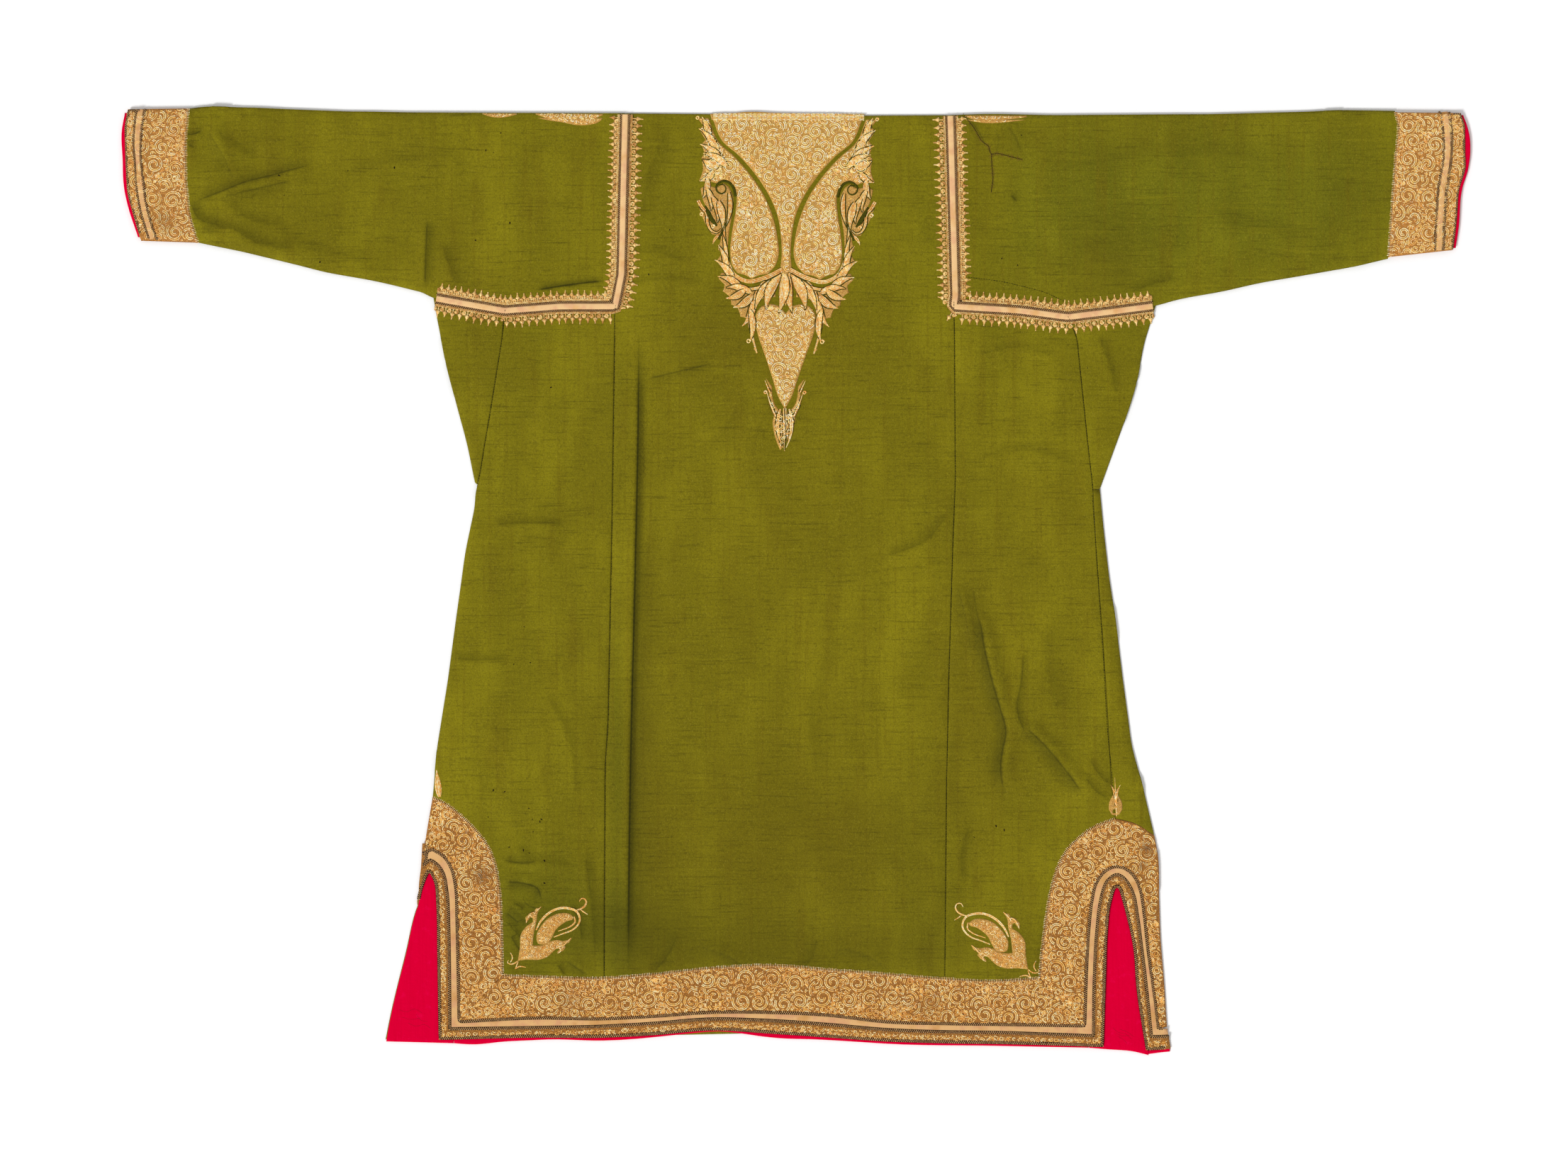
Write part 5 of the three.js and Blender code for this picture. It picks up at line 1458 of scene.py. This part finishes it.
def dressLeaves(name, shapes, curls, fill, thread, edging=None, edgeWidth=1.0):
    # shapes are (path, widths) in the order they overlap; each is filled, laid with threads and edged
    form = leafThreads
    sew(name + "_fill", cord, [settled(path, -0.12, 2.0) for path, _ in shapes], "gold_work",
        [w for _, w in shapes], carries=True, Finish=fill, **cordForms["leaf"])
    threads, widths = [], []
    for path, w in shapes:
        rows = max(1, int(max(w) / form["pitch"]))
        for k in range(rows):
            share = (k + 0.5) / rows - 0.5
            spread = [offset(path, share * w[i] * form["spread"])[i] for i in range(len(path))]
            threads.append(settled(np.array(spread), -0.05))
            thick = np.asarray(w) / rows * form["share"]
            widths.append(np.clip(thick, form["least"], form["most"]).tolist())
    for x, y, radius in curls:
        turn = np.linspace(0, 7.6, 11)
        ring = np.column_stack([x + radius * (1 - turn / 16) * np.cos(turn),
                                y + radius * (1 - turn / 16) * np.sin(turn)])
        threads.append(settled(ring, 0.2))
        widths.append(form["curl"])
    glow = rng.uniform(0, 1, len(threads)).tolist()
    sew(name + "_threads", cord, threads, "gold_work", widths, glow, Finish=thread, **cordForms["laid"])
    if edging is None:
        return
    outlines = [outlineAlong(path, np.asarray(w) + 0.5) for path, w in shapes]
    under = [loop for node, loop in plateLoops.items() if node.startswith("neck_")]
    edges = []
    for k, outline in enumerate(outlines):
        path = spaced(outline, 1.8)
        onGold = np.zeros(len(path), bool)
        for loop in under + outlines[:k]:
            onGold |= inside(path, loop)
        for later in outlines[k + 1:]:
            onGold &= ~inside(path, later)
        edges += clipRuns(path, onGold)
    sew(name + "_lines", cord, [settled(p, 0.2) for p in edges], "green_cloth", edgeWidth, Finish=edging,
        **cordForms["line"])


# the green between the raised gold, darker than the cloth: painted shade
shadedGreenLine = plainThread("shadedGreenLine", rgb(72, 70, 6), rgb(48, 50, 2), 0.9)
neckShapes, neckCurls, spirals, gaps, gapWidths = [], [], [], [], []
for side in (1, -1):
    for width, path in neckBandRows:
        smooth = spaced(flow(neckSpot(path, side)), neckSizes["bandStep"])
        share = np.linspace(0, 1, len(smooth))
        neckShapes.append((smooth, (width * np.clip(1.25 - share, 0.3, 1)).tolist()))
    for rootX, rootY, tipX, tipY, width, bend in neckLeafRows:
        spine = neckSpot(leafSpine((rootX, rootY), (tipX, tipY), bend), side)
        neckShapes.append((spine, (leafSwell * width * neckSizes["leaf"]).tolist()))
    for x, y, radius in curlRows:
        centre = neckSpot([(x, y)], side)[0]
        neckCurls.append((centre[0], centre[1], radius))
    spirals.append(spaced(flow(neckSpot(spiralRows, side)), 2.5))
    for widths, path in neckGapRows:
        gaps.append(spaced(flow(neckSpot(path, side)), 2.0))
        at = np.linspace(0, len(widths) - 1, len(gaps[-1]))
        gapWidths.append(np.interp(at, range(len(widths)), widths).tolist())
dressLeaves("neck_leaf", neckShapes, neckCurls, groundCuff, threadCuff, shadedGreenLine, neckSizes["edging"])
spiralWidths = [np.linspace(neckSizes["spiralFrom"], neckSizes["spiralTo"], len(p)).tolist()
                for p in spirals]
sew("neck_channel", cord, [settled(p, 0.0, 1.5) for p in spirals], "green_cloth", spiralWidths,
    Finish=shadedGreenLine, **cordForms["channel"])
sew("neck_gaps", cord, [settled(p, 0.0, 1.5) for p in gaps], "green_cloth", gapWidths, Finish=shadedGreenLine,
    **cordForms["gap"])
print("neck dressed")

# each corner paisley: where its root is, the way it faces and its size
paisleySpots = {"left": (-369.5, -506.5, 1, 1.0), "right": (311.0, -518.0, -1, 1.06)}
# its bud and its bands, in its own millimetres from its root
budBody = route((24.9, 29.4), (27.1, 23.1), (33.4, 21.7), (41.6, 24.9), (46.1, 32.1), (50.6, 41.1),
               (58, 48), (66, 53), (73, 55), (75, 58.3), (68.7, 62.8), (57.9, 63.7), (47.9, 61),
               (38, 54.7), (30, 45), (25.6, 37))
paisleyBands = [
    (4.0, [(24.5, 41), (30, 52), (38, 61), (47.9, 67.5), (57.9, 70.4), (68.7, 69.8), (77.7, 66.5),
           (82, 60.1), (82.6, 53.8), (79, 46.6), (71, 40.2), (61, 36.6), (47.9, 31.5)]),
    (3.0, [(75.5, 59), (76.5, 52), (70, 45.8), (61, 42), (53.5, 39.5)]),
    (3.4, [(77.7, 67.3), (84.1, 69.4), (90, 74), (91.6, 79), (89, 83), (84.6, 83), (82, 79)]),
    (2.4, [(84, 68), (89, 64.5), (93, 62)]),
    (2.6, [(21.7, 61), (22.5, 64.5), (18, 63.5), (14, 58), (11.3, 51.5)]),
    (2.8, [(22.5, 63), (26.5, 68), (31.2, 72)]),
    (2.8, [(50, 17), (56, 17.5), (57.5, 13), (52.9, 10)]),
    (2.8, [(54, 19), (62, 21.5), (67, 27), (71.4, 30.5)]),
    (2.6, [(0, 0), (-5, -3.5), (-10.8, -4.1), (-14, -2), (-12, 1)]),
    (2.2, [(-10, -2), (-7.2, 3), (-7.6, 7), (-10, 11)]),
    (2.4, [(0.5, -1), (-1.4, -5.9), (-3.6, -11.3)]),
    (2.6, [(-3, -10.5), (1.8, -7.5), (6, -7.6), (10.8, -8.8)]),
]


def dressPaisley(side):
    x, y, turn, grow = paisleySpots[side]

    def placed(points):
        points = np.asarray(points, float) * grow
        return np.column_stack([x + turn * points[:, 0], y + points[:, 1]])

    body = placed(budBody)
    body = roundLoop(body if turn > 0 else body[::-1], 2.2, 60)
    plateOf(f"gold_paisley_bud_{side}", body, [f"paisley_bud_{side}"], groundNeck, 0.7, 3.5)
    shapes = []
    for width, path in paisleyBands:
        smooth = spaced(flow(placed(path)), 2.6)
        share = np.linspace(0, 1, len(smooth))
        taper = np.clip(1.5 - 1.1 * share, 0.35, 1) * np.clip(0.55 + 3 * share, 0, 1)
        shapes.append((smooth, (width * taper).tolist()))
    dressLeaves(f"paisley_{side}", shapes, [], groundNeck, threadHem)
    layCords(f"couching_paisley_{side}", [body, plateLoops[f"paisley_leaf_{side}"]], threadHem,
             **couchSizes["paisley"])


for side in ("left", "right"):
    dressPaisley(side)

# leaves over the vents: root, tip, width and bend
budShapes = [((-474, -288), (-478, -252), 10, 0.0), ((429, -314), (426.5, -262), 3, 0.0),
             ((427.5, -300), (421, -272), 5, -0.1), ((428.5, -300), (434, -272), 5, 0.1)]
dressLeaves("side_buds", [(leafSpine(a, b, bend), (leafSwell * w).tolist()) for a, b, w, bend in budShapes],
            [], groundNeck, threadHem, shadedGreenLine, 0.8)
layCords("couching_epaulettes", [loop for title, loop in plateLoops.items() if "epaulette" in title],
         threadNeck, **couchSizes["epaulettes"])
print("paisleys dressed")

sideSeam = route((396.4, 112.9), (400.2, 61.9), (404, 11.8), (407.8, -51.5), (411.5, -107.3),
                 (414.4, -161.1), (418.2, -216.9), (421.9, -249), (423.8, -272.6))
underarmSeam = route((232, 404.9), (274.5, 399.3), (311.4, 390.8), (332.2, 385.1), (357.7, 373.7))
darns = [route((224.4, 622), (238.6, 604.3), (252.8, 583.5), (257.5, 580.7), (261.8, 569.4),
               (270.7, 570.3)),
         route((270.7, 570.3), (284.9, 566.5), (302.9, 561.8)),
         route((261.8, 569.4), (263.2, 547.6), (264.1, 539.1), (261.8, 518.3))]
seamSizes = {"Pitch": 3.4, "Along": 2.3, "Across": 0.7, "Height": 0.3, "Spread": 0.0}
darnSizes = {"Pitch": 2.0, "Along": 0.6, "Across": 4.2, "Height": 0.5, "Spread": 0.0}
seamThread = plainThread("seamThread", rgb(44, 44, 6), rgb(30, 30, 4), 0.9)
darnThread = plainThread("darnThread", rgb(122, 96, 36), rgb(90, 70, 20), 0.9)


def laySeams():
    seams = [sideSeam, underarmSeam]
    for first, second in (("back_centre", "back_side_left"), ("back_centre", "back_side_right"),
                          ("back_side_left", "underarm_gore_left"),
                          ("back_side_right", "underarm_gore_right")):
        seams += sharedRail(clothLoops[first], [clothLoops[second]])
    seams = [spaced(flow(s) if len(s) < 12 else s, 4.0) for s in seams]
    sew("seam_stitches", row, [settled(s, 0.0, 1.5) for s in seams], "green_cloth", Seed=4, Uneven=0.3,
        Finish_0=seamThread, **inMetres(seamSizes))
    tears = [spaced(flow(d, 4), 3.0) for d in darns]
    sew("darn_stitches", row, [settled(d, 0.1) for d in tears], "green_cloth", Seed=9, Uneven=0.5,
        Lean=0.35, Finish_0=darnThread, **inMetres(darnSizes))
    sew("darned_tears", cord, [settled(d, 0.0) for d in tears], "green_cloth", 1.1, Finish=seamThread,
        **cordForms["tear"])


# painted shade: darker red threads along the silk's creases
silkCreases = [
    [(424, -596), (431, -602), (440, -604), (449, -611)], [(428, -603), (436, -607), (446, -606)],
    [(433, -598), (442, -601), (452, -608)], [(430, -607), (437, -611), (443, -617)],
    [(-528, -572), (-518, -575), (-508, -571), (-498, -576)], [(-524, -582), (-512, -585), (-500, -583)],
    [(-516, -590), (-506, -594), (-494, -592), (-486, -597)], [(-505, -578), (-499, -586), (-490, -588)],
]
creaseThread = plainThread("silkCrease", rgb(168, 0, 34), rgb(140, 0, 30), 0.9)
sew("silk_creases", cord, [settled(spaced(flow(c), 1.6), -0.12) for c in silkCreases], "silk_lining", 0.7,
    Finish=creaseThread, **cordForms["laid"])
laySeams()

# dark flecks where moths have been: painted shade that stands in for the holes
holeSpots = [
    (-687, 540), (-681, 514), (-596, 547), (-534, 551), (-633, 425), (-392, 597), (-412, 574), (-402, 571),
    (-380, 477), (-426, 454), (-167, 468), (-195, 409), (-325, 258), (-375, -111), (-353, -109), (-361, -61),
    (-402, -279), (-387, -281), (-409, -315), (-355, -303), (-340, -321), (-349, -334), (-381, -355),
    (-362, -359), (-354, -363), (-334, -373), (-334, -403), (276, 430), (297, 421), (269, 236), (390, 284),
    (220, -346), (239, -342), (268, -327), (279, -332), (302, 594), (-338, -318), (-350, -318),
]
holeSizes = {"least": 0.8, "most": 1.8, "long": 1.35, "narrow": 0.8, "corners": 8, "lift": 0.06, "sink": 0.3}


def layHoles():
    spots, faces = [], []
    count = holeSizes["corners"]
    angles = np.linspace(0, 2 * math.pi, count + 1)[:-1]
    for x, y in holeSpots:
        size = rng.uniform(holeSizes["least"], holeSizes["most"])
        turn = rng.uniform(0, 6.28)
        radius = size * rng.uniform(0.45, 1.1, count)
        rim = (x, y) + rotated(radius * np.cos(angles) * holeSizes["long"],
                               radius * np.sin(angles) * holeSizes["narrow"], turn)
        z = ground.height(rim, 4.0)
        low = len(spots)
        top = float(ground.height(np.array([[x, y]]), 4.0)[0])
        spots += [(*p, h + holeSizes["lift"]) for p, h in zip(rim, z)] + [(x, y, top + 0.1)]
        spots += [(*p, h - holeSizes["sink"]) for p, h in zip(rim, z)]
        under = low + count + 1
        for k in range(count):
            q = (k + 1) % count
            faces.append((low + k, low + q, low + count))
            faces.append((low + q, low + k, under + k, under + q))
        faces.append(tuple(under + k for k in range(count - 1, -1, -1)))
    seat(meshObject("moth_holes", spots, faces, holeShade, smooth=False), [])


# near-black: the shade inside a moth hole, painted
holeShade = plainThread("holeShade", rgb(24, 18, 6), rgb(40, 26, 8), 1.0)
layHoles()
print("seams and wear laid")

view = {"x": -14.6, "y": -9.45, "away": 4070.0, "lens": 70.0, "sensor": 36.0}
lighting = {"sun": 2.3, "softness": 16, "tilt": (34, -36), "studio": 0.62}
floorSizes = {"half": 6000, "under": -0.5}


def setStage():
    eye = bpy.data.cameras.new("camera")
    eye.lens, eye.sensor_width, eye.clip_end = view["lens"], view["sensor"], 50
    scene.camera = putInScene("camera", eye)
    scene.camera.location = (view["x"] * mm, view["y"] * mm, view["away"] * mm)
    lamp = bpy.data.lights.new("sun", "SUN")
    lamp.energy, lamp.angle = lighting["sun"], math.radians(lighting["softness"])
    sun = putInScene("sun", lamp)
    sun.rotation_euler = (math.radians(lighting["tilt"][0]), math.radians(lighting["tilt"][1]), 0)
    scene.world = bpy.data.worlds.new("studio")
    scene.world.use_nodes = True
    sky = scene.world.node_tree.nodes["Background"]
    sky.inputs["Color"].default_value = (1, 1, 1, 1)
    sky.inputs["Strength"].default_value = lighting["studio"]
    scene.view_settings.view_transform = "Standard"
    white = Finish("floorPaint", 0.9, **{"Specular IOR Level": 0.1})
    white.done(white.mix(white.noise(400, 2), rgb(246, 246, 246), rgb(250, 250, 250)))
    half = floorSizes["half"]
    corners = [(x * half, y * half, floorSizes["under"]) for x, y in ((-1, -1), (1, -1), (1, 1), (-1, 1))]
    meshObject("floor", corners, [(0, 1, 2, 3)], white.made, smooth=False)


setStage()
